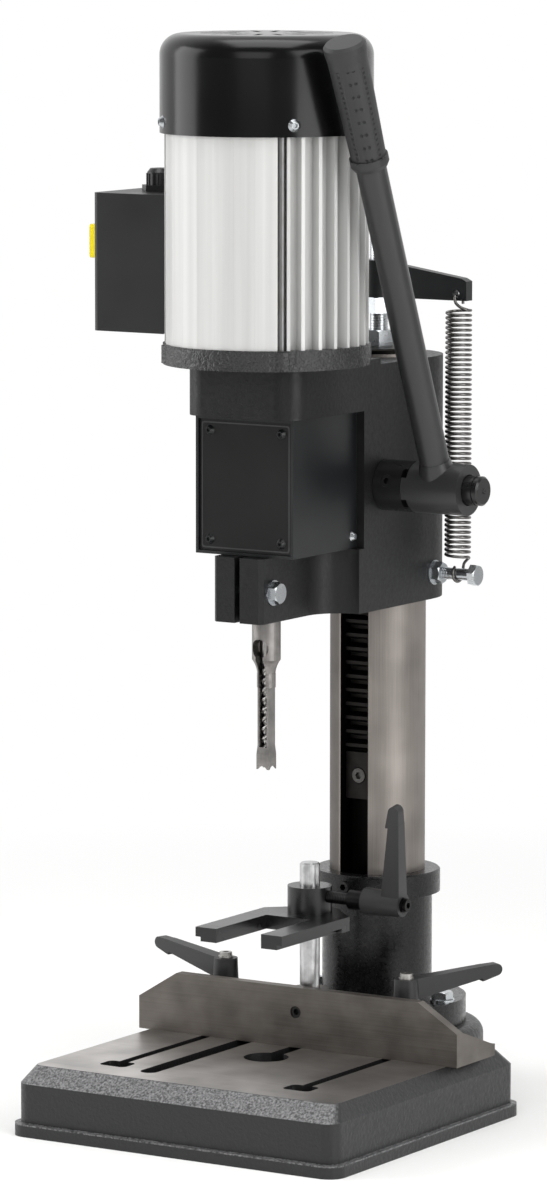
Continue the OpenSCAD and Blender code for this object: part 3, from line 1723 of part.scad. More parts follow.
// Ratchet lever standing on z = 0: sleeve, tapered hub, rising arm along +X
module lever_handle() {
  hub_foot = clamp_sleeve_l;
  hub_top = clamp_sleeve_l + clamp_hub_h;
  arm_w = 11;
  arm_root_h = 14.2;
  tip_w = 8;
  tip_z = hub_top + 5.5;
  difference() {
    union() {
      translate([0, 0, hub_foot])
        cylinder(d1 = clamp_hub_d, d2 = clamp_hub_d - 2.4, h = clamp_hub_h);
      hull() {
        translate([2, -arm_w / 2, hub_top - arm_root_h])
          cube([1, arm_w, arm_root_h]);
        translate([clamp_l - 13, -tip_w / 2, tip_z - 8.5])
          cube([1, tip_w, 8]);
      }
      hull() {
        translate([clamp_l - 15, -tip_w / 2, tip_z - 11])
          cube([1, tip_w, 10.3]);
        translate([clamp_l - 4, 0, tip_z - 4])
          rotate([90, 0, 0])
            cylinder(r = 4, h = tip_w - 1, center = true, $fn = 24);
      }
    }
    translate([0, 0, -1])
      cylinder(d = clamp_sleeve_d - 3.4 + 2 * seat_fit, h = 60);
  }
}

// Steel insert of a ratchet lever: threaded sleeve with the retaining screw on top
module lever_insert(bore_d) {
  core_d = clamp_sleeve_d - 3.4;
  hub_top = clamp_sleeve_l + clamp_hub_h;
  difference() {
    union() {
      cylinder(d = clamp_sleeve_d, h = clamp_sleeve_l);
      translate([0, 0, clamp_sleeve_l - eps])
        cylinder(d = core_d, h = clamp_hub_h + 1.4);
      translate([0, 0, hub_top + 1.3])
        cylinder(d = 8.6, h = 2.6);
    }
    translate([0, 0, -1])
      cylinder(d = bore_d, h = 28);
    translate([0, 0, hub_top + 1.8])
      cylinder(d = 4.6, h = 5, $fn = 6);
  }
}

module at_fence_lever(side, angle) {
  translate([side * tslot_x, tbolt_y, lever_z])
    rotate(angle)
      children();
}

module left_clamp_lever() color([0.08, 0.08, 0.08]) {
  at_fence_lever(-1, left_lever_angle)
    lever_handle();
}

module left_lever_insert() color(steel) {
  at_fence_lever(-1, left_lever_angle)
    lever_insert(tbolt_d + 2 * stud_bore_fit);
}

module right_clamp_lever() color([0.08, 0.08, 0.08]) {
  at_fence_lever(1, right_lever_angle)
    lever_handle();
}

module right_lever_insert() color(steel) {
  at_fence_lever(1, right_lever_angle)
    lever_insert(tbolt_d + 2 * stud_bore_fit);
}

// The hold-down lever lies along +X and its arm points up, leaning forward
module at_hold_lever() {
  translate([hold_sleeve_x, post_y, hold_z])
    rotate([hold_lever_lean, 0, 0])
      rotate([0, 90, 0])
        rotate([0, 0, 180])
          children();
}

module hold_down_lever() color([0.08, 0.08, 0.08]) {
  at_hold_lever()
    lever_handle();
}

module hold_down_insert() color(steel) {
  at_hold_lever()
    lever_insert(hold_stud_d - 0.02);
  translate([0, post_y, hold_z])
    x_rod(hold_stud_d / 2, post_r + 0.3, hold_sleeve_x + 20);
}

// ---- hold-down fork ----

module fork_outline() {
  back_r = 21;
  difference() {
    union() {
      circle(back_r);
      polygon([[-fork_w / 2, -fork_reach], [fork_w / 2, -fork_reach], [fork_w / 2, -4],
               [back_r - 7, 14], [7 - back_r, 14], [-fork_w / 2, -4]]);
    }
    translate([-fork_gap / 2, -fork_reach - 1])
      square([fork_gap, fork_reach - 26]);
  }
}

module hold_down_fork() color([0.1, 0.1, 0.1]) {
  rebate = 3;
  translate([0, post_y, 0])
    difference() {
      translate([0, 0, fork_bottom])
        linear_extrude(fork_t)
          fork_outline();
      for (s = [-1, 1])
        translate([s * fork_w / 2, -fork_reach / 2 - 14, fork_bottom])
          cube([2 * rebate + 2, fork_reach, 2 * rebate], center = true);
      translate([0, 0, fork_bottom - 1])
        cylinder(r = post_r + run_fit, h = fork_t + 2);
    }
}

module hold_down_collar() color([0.1, 0.1, 0.1]) {
  translate([0, post_y, fork_top])
    difference() {
      cylinder(d = fork_collar_d, h = fork_collar_h);
      translate([0, 0, -1])
        cylinder(r = post_r + run_fit, h = fork_collar_h + 2);
      translate([0, 0, hold_z - fork_top])
        x_rod(hold_stud_d / 2 + stud_bore_fit, 0, fork_collar_d);
    }
}

base_casting();
column_socket();
socket_bolts();
socket_set_screw();
column();
rack();
rack_screws();
column_cap();
top_stud();
stud_nuts();
spring_arm();
return_spring();
head_casting();
pinion_bushes();
motor_flange();
motor_housing();
stator();
motor_bearings();
motor_end_shield();
tie_bolts();
fan_cowl();
cowl_screws();
switch_box();
switch_bezel();
cable_gland();
chuck_hood();
hood_front_plate();
hood_plate_screws();
hood_side_screws();
hollow_chisel();
chisel_clamp_bolt();
spring_anchor_bolt();
rotor();
cooling_fan();
chuck_body();
chuck_jaws();
auger_bit();
pinion_shaft();
pinion_gear();
clutch_collar();
collar_set_screw();
shaft_end_cap();
feed_lever();
lever_grip();
start_button();
stop_button();
fence();
fence_t_bolts();
post_lock_screw();
hold_down_post();
left_clamp_lever();
left_lever_insert();
right_clamp_lever();
right_lever_insert();
hold_down_fork();
hold_down_collar();
hold_down_lever();
hold_down_insert();
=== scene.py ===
import math
import bpy
from mathutils import Matrix, Vector


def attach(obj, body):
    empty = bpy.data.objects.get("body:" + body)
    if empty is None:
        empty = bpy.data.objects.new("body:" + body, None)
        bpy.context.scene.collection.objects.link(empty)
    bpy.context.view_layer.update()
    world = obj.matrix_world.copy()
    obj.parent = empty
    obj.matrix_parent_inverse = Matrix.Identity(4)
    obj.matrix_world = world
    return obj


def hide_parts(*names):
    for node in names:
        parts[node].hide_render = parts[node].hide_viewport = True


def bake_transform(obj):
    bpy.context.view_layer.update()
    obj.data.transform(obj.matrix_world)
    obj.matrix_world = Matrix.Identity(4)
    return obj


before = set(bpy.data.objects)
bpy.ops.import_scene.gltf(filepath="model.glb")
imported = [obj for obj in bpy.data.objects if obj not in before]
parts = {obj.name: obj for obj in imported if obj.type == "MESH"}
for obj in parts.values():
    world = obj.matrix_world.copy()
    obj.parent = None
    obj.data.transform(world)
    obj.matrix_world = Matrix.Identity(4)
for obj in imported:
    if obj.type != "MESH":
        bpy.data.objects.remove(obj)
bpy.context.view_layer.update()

mm = 0.001
noiseLow, noiseHigh = 0.3, 0.7  # nearly all of a noise texture lies between these


def hexToLinear(code):
    # sRGB hex to the linear colour that a shader socket wants
    channels = [int(code[i:i + 2], 16) / 255 for i in (1, 3, 5)]
    return [c / 12.92 if c <= 0.04045 else ((c + 0.055) / 1.055) ** 2.4 for c in channels] + [1.0]


def addNode(tree, kind, settings=None, links=None):
    # settings go to properties or to sockets by name or number, links come from other nodes' outputs
    node = tree.nodes.new(kind)
    for key, value in (settings or {}).items():
        if isinstance(key, int) or key in node.inputs:
            node.inputs[key].default_value = value
        else:
            setattr(node, key, value)
    for key, source in (links or {}).items():
        tree.links.new(source, node.inputs[key])
    return node


def startMaterial(name, look):
    # returns the material, its tree, the shader and the object coordinates, in metres
    mat = bpy.data.materials.new(name)
    mat.use_nodes = True
    tree = mat.node_tree
    tree.nodes.clear()
    shader = addNode(tree, "ShaderNodeBsdfPrincipled", {
        "Base Color": hexToLinear(look["colour"]),
        "Metallic": look.get("metallic", 0.0),
        "Roughness": look["roughness"],
    })
    if not look.get("metallic"):
        shader.inputs["IOR"].default_value = look.get("ior", 1.5)
    addNode(tree, "ShaderNodeOutputMaterial", links={"Surface": shader.outputs[0]})
    place = addNode(tree, "ShaderNodeTexCoord").outputs["Object"]
    return mat, tree, shader, place


def showInstead(tree, surface):
    # the material shows this mix in place of its plain shader
    output = next(node for node in tree.nodes if node.type == "OUTPUT_MATERIAL")
    tree.links.new(surface, output.inputs["Surface"])


def perMetre(sizeMm):
    return 1.0 / (sizeMm * mm)  # texture scale for a grain of that size


def paint(mat, *names):
    for name in names:
        for holder in parts[name].material_slots:
            holder.material = mat


print("camera")
cameraLook = {"place": (2.0729, -3.4262, 0.8534), "turn": 32.19, "tilt": 7.35, "roll": 0.042,
              "lens": 178.35, "sensor": 36, "farthest": 100}
turn, tilt = math.radians(cameraLook["turn"]), math.radians(cameraLook["tilt"])
forward = Vector((-math.sin(turn) * math.cos(tilt), math.cos(turn) * math.cos(tilt), -math.sin(tilt)))
right = Vector((math.cos(turn), math.sin(turn), 0))
up = right.cross(forward)
aim = Matrix((right, up, -forward)).transposed().to_4x4()
cameraData = bpy.data.cameras.new("photoCamera")
cameraData.lens = cameraLook["lens"]
cameraData.sensor_width = cameraLook["sensor"]
cameraData.clip_end = cameraLook["farthest"]
camera = bpy.data.objects.new("photoCamera", cameraData)
camera.matrix_world = (Matrix.Translation(Vector(cameraLook["place"])) @ aim
                       @ Matrix.Rotation(math.radians(cameraLook["roll"]), 4, "Z"))
bpy.context.scene.collection.objects.link(camera)
bpy.context.scene.camera = camera

print("lights")
bpy.context.scene.view_settings.view_transform = "Standard"
roomLook = {"background": "#ffffff", "ambient": 0.46, "front": 0.1, "back": 1.0,
            "backWay": (-0.53, 0.85, 0.0), "frontEnds": -0.15, "backStarts": 0.45}
world = bpy.data.worlds.new("studio")
bpy.context.scene.world = world
world.use_nodes = True
sky = world.node_tree
sky.nodes.clear()
rays = addNode(sky, "ShaderNodeLightPath")
heading = addNode(sky, "ShaderNodeTexCoord").outputs["Generated"]
# shiny pieces see a white wall behind the object and a darker room in front of it
behind = addNode(sky, "ShaderNodeVectorMath", {"operation": "DOT_PRODUCT", 1: roomLook["backWay"]},
                 {0: heading})
wall = addNode(sky, "ShaderNodeMapRange", {
    "From Min": roomLook["frontEnds"], "From Max": roomLook["backStarts"],
    "To Min": roomLook["front"], "To Max": roomLook["back"]}, {"Value": behind.outputs["Value"]})
soft = addNode(sky, "ShaderNodeBackground", {"Color": (1, 1, 1, 1), "Strength": roomLook["ambient"]})
seen = addNode(sky, "ShaderNodeBackground", {"Color": (1, 1, 1, 1)}, {"Strength": wall.outputs[0]})
white = addNode(sky, "ShaderNodeBackground", {"Color": hexToLinear(roomLook["background"]), "Strength": 1.0})
mirrorRay = addNode(sky, "ShaderNodeMath", {"operation": "MAXIMUM"},
                    {0: rays.outputs["Is Glossy Ray"], 1: rays.outputs["Is Transmission Ray"]})
roomMix = addNode(sky, "ShaderNodeMixShader", {},
                  {0: mirrorRay.outputs[0], 1: soft.outputs[0], 2: seen.outputs[0]})
cameraMix = addNode(sky, "ShaderNodeMixShader", {},
                    {0: rays.outputs["Is Camera Ray"], 1: roomMix.outputs[0], 2: white.outputs[0]})
addNode(sky, "ShaderNodeOutputWorld", links={"Surface": cameraMix.outputs[0]})

lampLook = {
    "leftSoftbox": {"at": (-2.1, -1.1, 1.1), "to": (0, -0.1, 0.42), "size": (1.5, 1.8), "power": 27},
    "rightSoftbox": {"at": (1.9, -0.5, 1.0), "to": (0, -0.1, 0.35), "size": (1.1, 1.9), "power": 22},
    "frontFill": {"at": (0.9, -2.9, 1.5), "to": (0, -0.1, 0.3), "size": (1.9, 1.6), "power": 17},
    "topSoftbox": {"at": (0.1, -0.3, 2.3), "to": (0, -0.1, 0.3), "size": (1.5, 1.5), "power": 30},
}
for name, look in lampLook.items():
    lampData = bpy.data.lights.new(name, "AREA")
    lampData.shape = "RECTANGLE"
    lampData.size, lampData.size_y = look["size"]
    lampData.energy = look["power"]
    lamp = bpy.data.objects.new(name, lampData)
    lamp.location = look["at"]
    lamp.rotation_euler = (Vector(look["to"]) - Vector(look["at"])).to_track_quat("-Z", "Y").to_euler()
    bpy.context.scene.collection.objects.link(lamp)

print("floor")
floorLook = {"colour": "#f4f4f3", "reach": 9.0, "roughness": 0.9, "fadeFrom": 0.45, "fadeTo": 1.1}
reach = floorLook["reach"]
floorMesh = bpy.data.meshes.new("floor")
floorMesh.from_pydata([(-reach, -reach, 0), (reach, -reach, 0), (reach, reach, 0), (-reach, reach, 0)],
                      [], [(0, 1, 2, 3)])
floor = bpy.data.objects.new("floor", floorMesh)
bpy.context.scene.collection.objects.link(floor)
floorMat, tree, shader, place = startMaterial("paperSweep", floorLook)
# the paper turns plain white away from the object, so no horizon shows
distance = addNode(tree, "ShaderNodeVectorMath", {"operation": "LENGTH"}, {0: place})
fade = addNode(tree, "ShaderNodeMapRange", {"From Min": floorLook["fadeFrom"],
                                            "From Max": floorLook["fadeTo"]},
               {"Value": distance.outputs["Value"]})
seenByCamera = addNode(tree, "ShaderNodeLightPath").outputs["Is Camera Ray"]
share = addNode(tree, "ShaderNodeMath", {"operation": "MULTIPLY"}, {0: fade.outputs[0], 1: seenByCamera})
glow = addNode(tree, "ShaderNodeEmission", {"Color": (1, 1, 1, 1), "Strength": 1.0})
paper = addNode(tree, "ShaderNodeMixShader", {},
                {0: share.outputs[0], 1: shader.outputs[0], 2: glow.outputs[0]})
showInstead(tree, paper.outputs[0])
floorMesh.materials.append(floorMat)

print("painted castings")
# enamel over sand-cast iron: soft orange-peel lumps and a fine grain that breaks up the gloss
enamelLook = {"colour": "#1b1b1c", "roughness": 0.36, "glossier": 0.07, "duller": 0.1,
              "lumpMm": 2.6, "grainMm": 0.9, "grainShare": 0.6, "depthMm": 0.22}
# the head is filled and rubbed down before the paint, so it is darker and flatter
headLook = dict(enamelLook, colour="#121213", roughness=0.4, depthMm=0.14, ior=1.4)
# the flange is painted as it came from the sand, so its lumps catch the light
flangeLook = dict(enamelLook, colour="#272728", roughness=0.26, lumpMm=3.4, grainMm=1.6, depthMm=1.1)
# the socket is turned first, which leaves the paint smooth and glossy
socketLook = dict(headLook, roughness=0.26, depthMm=0.1, colour="#0d0d0e")
baseLook = dict(enamelLook, depthMm=0.3, roughness=0.38)


def enamel(name, look):
    mat, tree, shader, place = startMaterial(name, look)
    lumps = addNode(tree, "ShaderNodeTexNoise", {"Scale": perMetre(look["lumpMm"]), "Detail": 2.0},
                    {"Vector": place})
    grain = addNode(tree, "ShaderNodeTexNoise", {"Scale": perMetre(look["grainMm"]), "Detail": 3.0},
                    {"Vector": place})
    height = addNode(tree, "ShaderNodeMath", {"operation": "MULTIPLY_ADD", 1: look["grainShare"]},
                     {0: grain.outputs[0], 2: lumps.outputs[0]})
    bump = addNode(tree, "ShaderNodeBump", {"Strength": 1.0, "Distance": look["depthMm"] * mm},
                   {"Height": height.outputs[0]})
    tree.links.new(bump.outputs[0], shader.inputs["Normal"])
    shine = addNode(tree, "ShaderNodeMapRange", {"From Min": noiseLow, "From Max": noiseHigh,
                                                 "To Min": look["roughness"] - look["glossier"],
                                                 "To Max": look["roughness"] + look["duller"]},
                    {"Value": lumps.outputs[0]})
    tree.links.new(shine.outputs[0], shader.inputs["Roughness"])
    return mat, tree, shader, place


paint(enamel("blackEnamelOnDressedCasting", headLook)[0], "head_casting")
paint(enamel("blackEnamelOnRawSandCasting", flangeLook)[0], "motor_flange")
paint(enamel("blackEnamelOnTurnedIron", socketLook)[0], "column_socket")

# grinding lines are drawn coarser than real so that they show, over slow patches of tone
grindLook = {"stretch": 0.012, "lineShare": 0.5, "dark": 0.72, "light": 1.18,
             "toneFrom": 0.5, "toneTo": 1.0, "bump": 0.4, "depthMm": 0.02, "glossier": 0.08, "duller": 0.1}


def groundMetal(tree, place, look, along):
    stretch = [grindLook["stretch"] if axis == along else 1 for axis in "xyz"]
    stretched = addNode(tree, "ShaderNodeVectorMath", {"operation": "MULTIPLY", 1: stretch}, {0: place})
    lines = addNode(tree, "ShaderNodeTexNoise", {"Scale": perMetre(look["lineMm"]), "Detail": 2.0},
                    {"Vector": stretched.outputs[0]})
    patches = addNode(tree, "ShaderNodeTexNoise", {"Scale": perMetre(look["patchMm"]), "Detail": 2.0},
                      {"Vector": place})
    tone = addNode(tree, "ShaderNodeMath", {"operation": "MULTIPLY_ADD", 1: grindLook["lineShare"]},
                   {0: lines.outputs[0], 2: patches.outputs[0]})
    plain = hexToLinear(look["colour"])[:3]
    dark = [c * grindLook["dark"] for c in plain] + [1]
    light = [min(1, c * grindLook["light"]) for c in plain] + [1]
    tone = addNode(tree, "ShaderNodeMapRange", {"From Min": grindLook["toneFrom"],
                                                "From Max": grindLook["toneTo"]}, {"Value": tone.outputs[0]})
    colour = addNode(tree, "ShaderNodeMix", {"data_type": "RGBA", 6: dark, 7: light}, {0: tone.outputs[0]})
    return colour.outputs[2], lines.outputs[0]


# the base: the same enamel, but the table is surface ground after painting
tableLook = {"colour": "#b4b0ad", "roughness": 0.36, "lineMm": 0.5, "patchMm": 28,
             "bump": 0.5, "depthMm": 0.03, "from": 45.3, "to": 46.4, "upFrom": 0.95}
baseMat, tree, shader, place = enamel("enamelledBaseWithGroundTable", baseLook)
tableColour, lines = groundMetal(tree, place, tableLook, "x")
table = addNode(tree, "ShaderNodeBsdfPrincipled", {"Metallic": 1.0, "Roughness": tableLook["roughness"]},
                {"Base Color": tableColour})
tableBump = addNode(tree, "ShaderNodeBump", {"Strength": tableLook["bump"],
                                             "Distance": tableLook["depthMm"] * mm}, {"Height": lines})
tree.links.new(tableBump.outputs[0], table.inputs["Normal"])
height = addNode(tree, "ShaderNodeSeparateXYZ", {}, {0: place}).outputs["Z"]
slope = addNode(tree, "ShaderNodeNewGeometry").outputs["True Normal"]
facing = addNode(tree, "ShaderNodeSeparateXYZ", {}, {0: slope})
onTable = None
for operation, limit, value in (("GREATER_THAN", tableLook["from"] * mm, height),
                                ("LESS_THAN", tableLook["to"] * mm, height),
                                ("GREATER_THAN", tableLook["upFrom"], facing.outputs["Z"])):
    test = addNode(tree, "ShaderNodeMath", {"operation": operation, 1: limit}, {0: value}).outputs[0]
    onTable = test if onTable is None else addNode(tree, "ShaderNodeMath", {"operation": "MULTIPLY"},
                                                   {0: onTable, 1: test}).outputs[0]
# the sloping edge is painted over the raw sand skin and is coarser; its colour holds a painted highlight: the
# grain crests are lighter, and only on the front-facing slopes, standing in for the light that strikes them
edgeLook = {"hollow": "#303031", "crownHighlight": "#848485", "roughness": 0.3, "lumpMm": 1.5, "depthMm": 0.7,
            "low": 30, "high": 45.6, "slope": 0.62, "slopeWithin": 0.3, "sideEnds": -0.15, "frontStarts": -0.6,
            "toneFrom": 0.35, "toneTo": 0.68}
sand = addNode(tree, "ShaderNodeTexNoise", {"Scale": perMetre(edgeLook["lumpMm"]), "Detail": 3.0},
               {"Vector": place})
crowns = addNode(tree, "ShaderNodeMapRange", {"From Min": edgeLook["toneFrom"], "From Max": edgeLook["toneTo"]},
                 {"Value": sand.outputs[0]})
edgeHighlightTone = addNode(tree, "ShaderNodeMix", {"data_type": "RGBA", 6: hexToLinear(edgeLook["hollow"]),
                                           7: hexToLinear(edgeLook["crownHighlight"])}, {0: crowns.outputs[0]})
edge = addNode(tree, "ShaderNodeBsdfPrincipled", {"Roughness": edgeLook["roughness"]},
               {"Base Color": edgeHighlightTone.outputs[2]})
edgeBump = addNode(tree, "ShaderNodeBump", {"Distance": edgeLook["depthMm"] * mm}, {"Height": sand.outputs[0]})
tree.links.new(edgeBump.outputs[0], edge.inputs["Normal"])
# a painted highlight along the top edge of the foot rim: the base colour is lightened on the sand grains'
# crests there, standing in for the light they catch
rimHighlightLook = {"height": 8.2, "half": 0.7, "glint": "#7c7c7d"}
onRim = addNode(tree, "ShaderNodeMath", {"operation": "COMPARE", 1: rimHighlightLook["height"] * mm,
                                         2: rimHighlightLook["half"] * mm}, {0: height})
rimHighlightShare = addNode(tree, "ShaderNodeMath", {"operation": "MULTIPLY"}, {0: onRim.outputs[0], 1: crowns.outputs[0]})
rimHighlightTone = addNode(tree, "ShaderNodeMix", {"data_type": "RGBA", 6: hexToLinear(baseLook["colour"]),
                                          7: hexToLinear(rimHighlightLook["glint"])}, {0: rimHighlightShare.outputs[0]})
tree.links.new(rimHighlightTone.outputs[2], shader.inputs["Base Color"])
tilted = addNode(tree, "ShaderNodeMath", {"operation": "COMPARE", 1: edgeLook["slope"],
                                          2: edgeLook["slopeWithin"]}, {0: facing.outputs["Z"]})
middle = (edgeLook["low"] + edgeLook["high"]) / 2 * mm
inBand = addNode(tree, "ShaderNodeMath", {"operation": "COMPARE", 1: middle,
                                          2: edgeLook["high"] * mm - middle}, {0: height})
# painted highlight only on the front-facing slopes, where the light falls
frontLitShare = addNode(tree, "ShaderNodeMapRange", {"From Min": edgeLook["sideEnds"],
                                               "From Max": edgeLook["frontStarts"]},
                  {"Value": facing.outputs["Y"]})
onLitEdge = tilted.outputs[0]
for test in (inBand, frontLitShare):
    onLitEdge = addNode(tree, "ShaderNodeMath", {"operation": "MULTIPLY"},
                     {0: onLitEdge, 1: test.outputs[0]}).outputs[0]
painted = addNode(tree, "ShaderNodeMixShader", {}, {0: onLitEdge, 1: shader.outputs[0], 2: edge.outputs[0]})
ground = addNode(tree, "ShaderNodeMixShader", {}, {0: onTable, 1: painted.outputs[0], 2: table.outputs[0]})
showInstead(tree, ground.outputs[0])
paint(baseMat, "base_casting")

print("ground and turned steel")
fenceLook = {"colour": "#746f6a", "metallic": 1.0, "roughness": 0.46, "lineMm": 0.7, "patchMm": 22}
# the leftStripShade keys place a painted shade on the column strip left of the channel
columnLook = {"colour": "#928c87", "metallic": 1.0, "roughness": 0.46, "lineMm": 0.6, "patchMm": 40,
              "channel": "#1a1918", "groundRadiusMm": 32.1,
              "leftStripShade": 0.42, "leftStripShadeX": (-11, -13), "leftStripShadeY": (-4, -16)}
chiselLook = {"colour": "#8e8b89", "metallic": 1.0, "roughness": 0.42, "lineMm": 0.5, "patchMm": 9}
postLook = {"colour": "#c3c3c4", "metallic": 1.0, "roughness": 0.3, "lineMm": 0.9, "patchMm": 6}


def groundSteel(name, look, along):
    mat, tree, shader, place = startMaterial(name, look)
    colour, lines = groundMetal(tree, place, look, along)
    bump = addNode(tree, "ShaderNodeBump", {"Strength": grindLook["bump"],
                                            "Distance": grindLook["depthMm"] * mm}, {"Height": lines})
    tree.links.new(bump.outputs[0], shader.inputs["Normal"])
    shine = addNode(tree, "ShaderNodeMapRange", {"To Min": look["roughness"] - grindLook["glossier"],
                                                 "To Max": look["roughness"] + grindLook["duller"]},
                    {"Value": lines})
    tree.links.new(shine.outputs[0], shader.inputs["Roughness"])
    if "channel" in look:
        # inside the ground radius, on the slot walls and in the bore, the colour is near black
        flat = addNode(tree, "ShaderNodeVectorMath", {"operation": "MULTIPLY", 1: (1, 1, 0)}, {0: place})
        radius = addNode(tree, "ShaderNodeVectorMath", {"operation": "LENGTH"}, {0: flat.outputs[0]})
        inside = addNode(tree, "ShaderNodeMath", {"operation": "LESS_THAN", 1: look["groundRadiusMm"] * mm},
                         {0: radius.outputs["Value"]})
        insideDark = addNode(tree, "ShaderNodeMix", {"data_type": "RGBA", 7: hexToLinear(look["channel"])},
                       {0: inside.outputs[0], 6: colour})
        # and a painted shade darkens the strip of the column on the channel's left, standing in for the darker
        # room it reflects there
        sides = addNode(tree, "ShaderNodeSeparateXYZ", {}, {0: place})
        strip = []
        for axis, (start, end) in (("X", look["leftStripShadeX"]), ("Y", look["leftStripShadeY"])):
            strip.append(addNode(tree, "ShaderNodeMapRange", {"From Min": start * mm, "From Max": end * mm},
                                 {"Value": sides.outputs[axis]}).outputs[0])
        leftStripShadeShare = addNode(tree, "ShaderNodeMath", {"operation": "MULTIPLY"}, {0: strip[0], 1: strip[1]})
        dim = addNode(tree, "ShaderNodeMapRange", {"To Min": 1.0, "To Max": look["leftStripShade"]},
                      {"Value": leftStripShadeShare.outputs[0]})
        colour = addNode(tree, "ShaderNodeVectorMath", {"operation": "SCALE"},
                         {0: insideDark.outputs[2], "Scale": dim.outputs[0]}).outputs[0]
    tree.links.new(colour, shader.inputs["Base Color"])
    return mat


# milled: warm grey with lines along the fence
paint(groundSteel("milledGreyIron", fenceLook, "x"), "fence")
# centreless ground: an even satin with lines up the column
paint(groundSteel("centrelessGroundSteel", columnLook, "z"), "column", "column_cap")
# ground tool steel: cool, with lines down the chisel
paint(groundSteel("groundToolSteel", chiselLook, "z"), "hollow_chisel")
# drawn bar: bright, with soft patches
paint(groundSteel("brightDrawnBar", postLook, "z"), "hold_down_post")
# turned inserts: a shade duller than the post
paint(groundSteel("turnedSteelInsert", dict(postLook, colour="#a9a7a3"), "x"),
      "left_lever_insert", "right_lever_insert")
# oiled black oxide: near black, with a wet sheen
paint(groundSteel("oiledBlackOxide", dict(postLook, colour="#2b2a2a", roughness=0.34), "x"),
      "hold_down_insert")
# hobbed teeth under oil: dark flanks, only their crests catch the light
paint(groundSteel("oiledGearSteel", dict(chiselLook, colour="#2c2a29", roughness=0.42), "x"),
      "rack", "pinion_gear", "pinion_shaft")
# polished flutes: brighter than the chisel round them
paint(groundSteel("polishedToolSteelBit", dict(chiselLook, colour="#b5b3b1", roughness=0.3), "z"),
      "auger_bit", "chuck_body", "chuck_jaws")
# pressed laminations: dull, with lines across the stack
paint(groundSteel("stackedLaminations", dict(chiselLook, colour="#6a6763"), "x"), "stator", "rotor")
paint(groundSteel("groundBearingRing", postLook, "z"), "motor_bearings")  # as bright as the post
paint(groundSteel("turnedBronze", dict(postLook, colour="#b08d57"), "y"), "pinion_bushes")  # warm yellow
# sand-cast aluminium: pale and matt
paint(groundSteel("asCastAluminium", dict(postLook, colour="#a6a8ab", roughness=0.5), "y"),
      "motor_end_shield")

# zinc plate over rolled steel: bright, with faint blue and straw patches
zincLook = {"colour": "#b4b9bf", "metallic": 1.0, "roughness": 0.26, "glossier": 0.04, "duller": 0.05,
            "tint": "#c0c2c2", "patchMm": 9}


def zincPlate(name, look):
    mat, tree, shader, place = startMaterial(name, look)
    patches = addNode(tree, "ShaderNodeTexNoise", {"Scale": perMetre(look["patchMm"]), "Detail": 3.0},
                      {"Vector": place})
    tint = addNode(tree, "ShaderNodeMix", {"data_type": "RGBA", 6: hexToLinear(look["colour"]),
                                           7: hexToLinear(look["tint"])}, {0: patches.outputs[0]})
    tree.links.new(tint.outputs[2], shader.inputs["Base Color"])
    shine = addNode(tree, "ShaderNodeMapRange", {"To Min": look["roughness"] - look["glossier"],
                                                 "To Max": look["roughness"] + look["duller"]},
                    {"Value": patches.outputs[0]})
    tree.links.new(shine.outputs[0], shader.inputs["Roughness"])
    return mat


zinc = zincPlate("zincPlatedSteel", zincLook)
paint(zinc, "socket_bolts", "top_stud", "stud_nuts", "cowl_screws",
      "hood_side_screws", "chisel_clamp_bolt", "spring_anchor_bolt", "fence_t_bolts")
# the tie bolts in their grooves: a darker, rougher zinc than the other bolts
tieLook = dict(zincLook, colour="#8f9092", tint="#75746f", roughness=0.4)
paint(zincPlate("darkerZincInTheGroove", tieLook), "tie_bolts")
# the rack's screws are brown with oil
rackScrewLook = dict(zincLook, colour="#6b6a68", tint="#2c2b2a", roughness=0.3)
paint(zincPlate("oiledCapScrew", rackScrewLook), "rack_screws")
# drawn wire with a thin plate; its colour is darker than the bolts', painted shade between the coils
springWire = zincPlate("platedSpringWire", dict(zincLook, colour="#7d7b79", tint="#636160", roughness=0.3))

print("motor")
# silver lacquer over extruded aluminium: a soft metallic sheen with faint drawing marks down it
housingLook = {"colour": "#c9c9c7", "metallic": 0.12, "roughness": 0.46, "dark": "#b2b2b1", "light": "#dededc",
               "streakMm": 8, "streakStretch": 0.02, "grainMm": 0.5, "bump": 0.35, "depthMm": 0.05,
               "axis": (0, 0.142, 0), "rootMm": 60.5, "tipMm": 66.4, "rootShade": 0.78}
housingMat, tree, shader, place = startMaterial("silverLacquerOnExtrusion", housingLook)
stretched = addNode(tree, "ShaderNodeVectorMath", {
    "operation": "MULTIPLY", 1: (1, 1, housingLook["streakStretch"])}, {0: place})
streaks = addNode(tree, "ShaderNodeTexNoise", {"Scale": perMetre(housingLook["streakMm"]), "Detail": 3.0},
                  {"Vector": stretched.outputs[0]})
flake = addNode(tree, "ShaderNodeTexNoise", {"Scale": perMetre(housingLook["grainMm"]), "Detail": 2.0},
                {"Vector": place})
tone = addNode(tree, "ShaderNodeMix", {"data_type": "RGBA", 6: hexToLinear(housingLook["dark"]),
                                       7: hexToLinear(housingLook["light"])}, {0: streaks.outputs[0]})
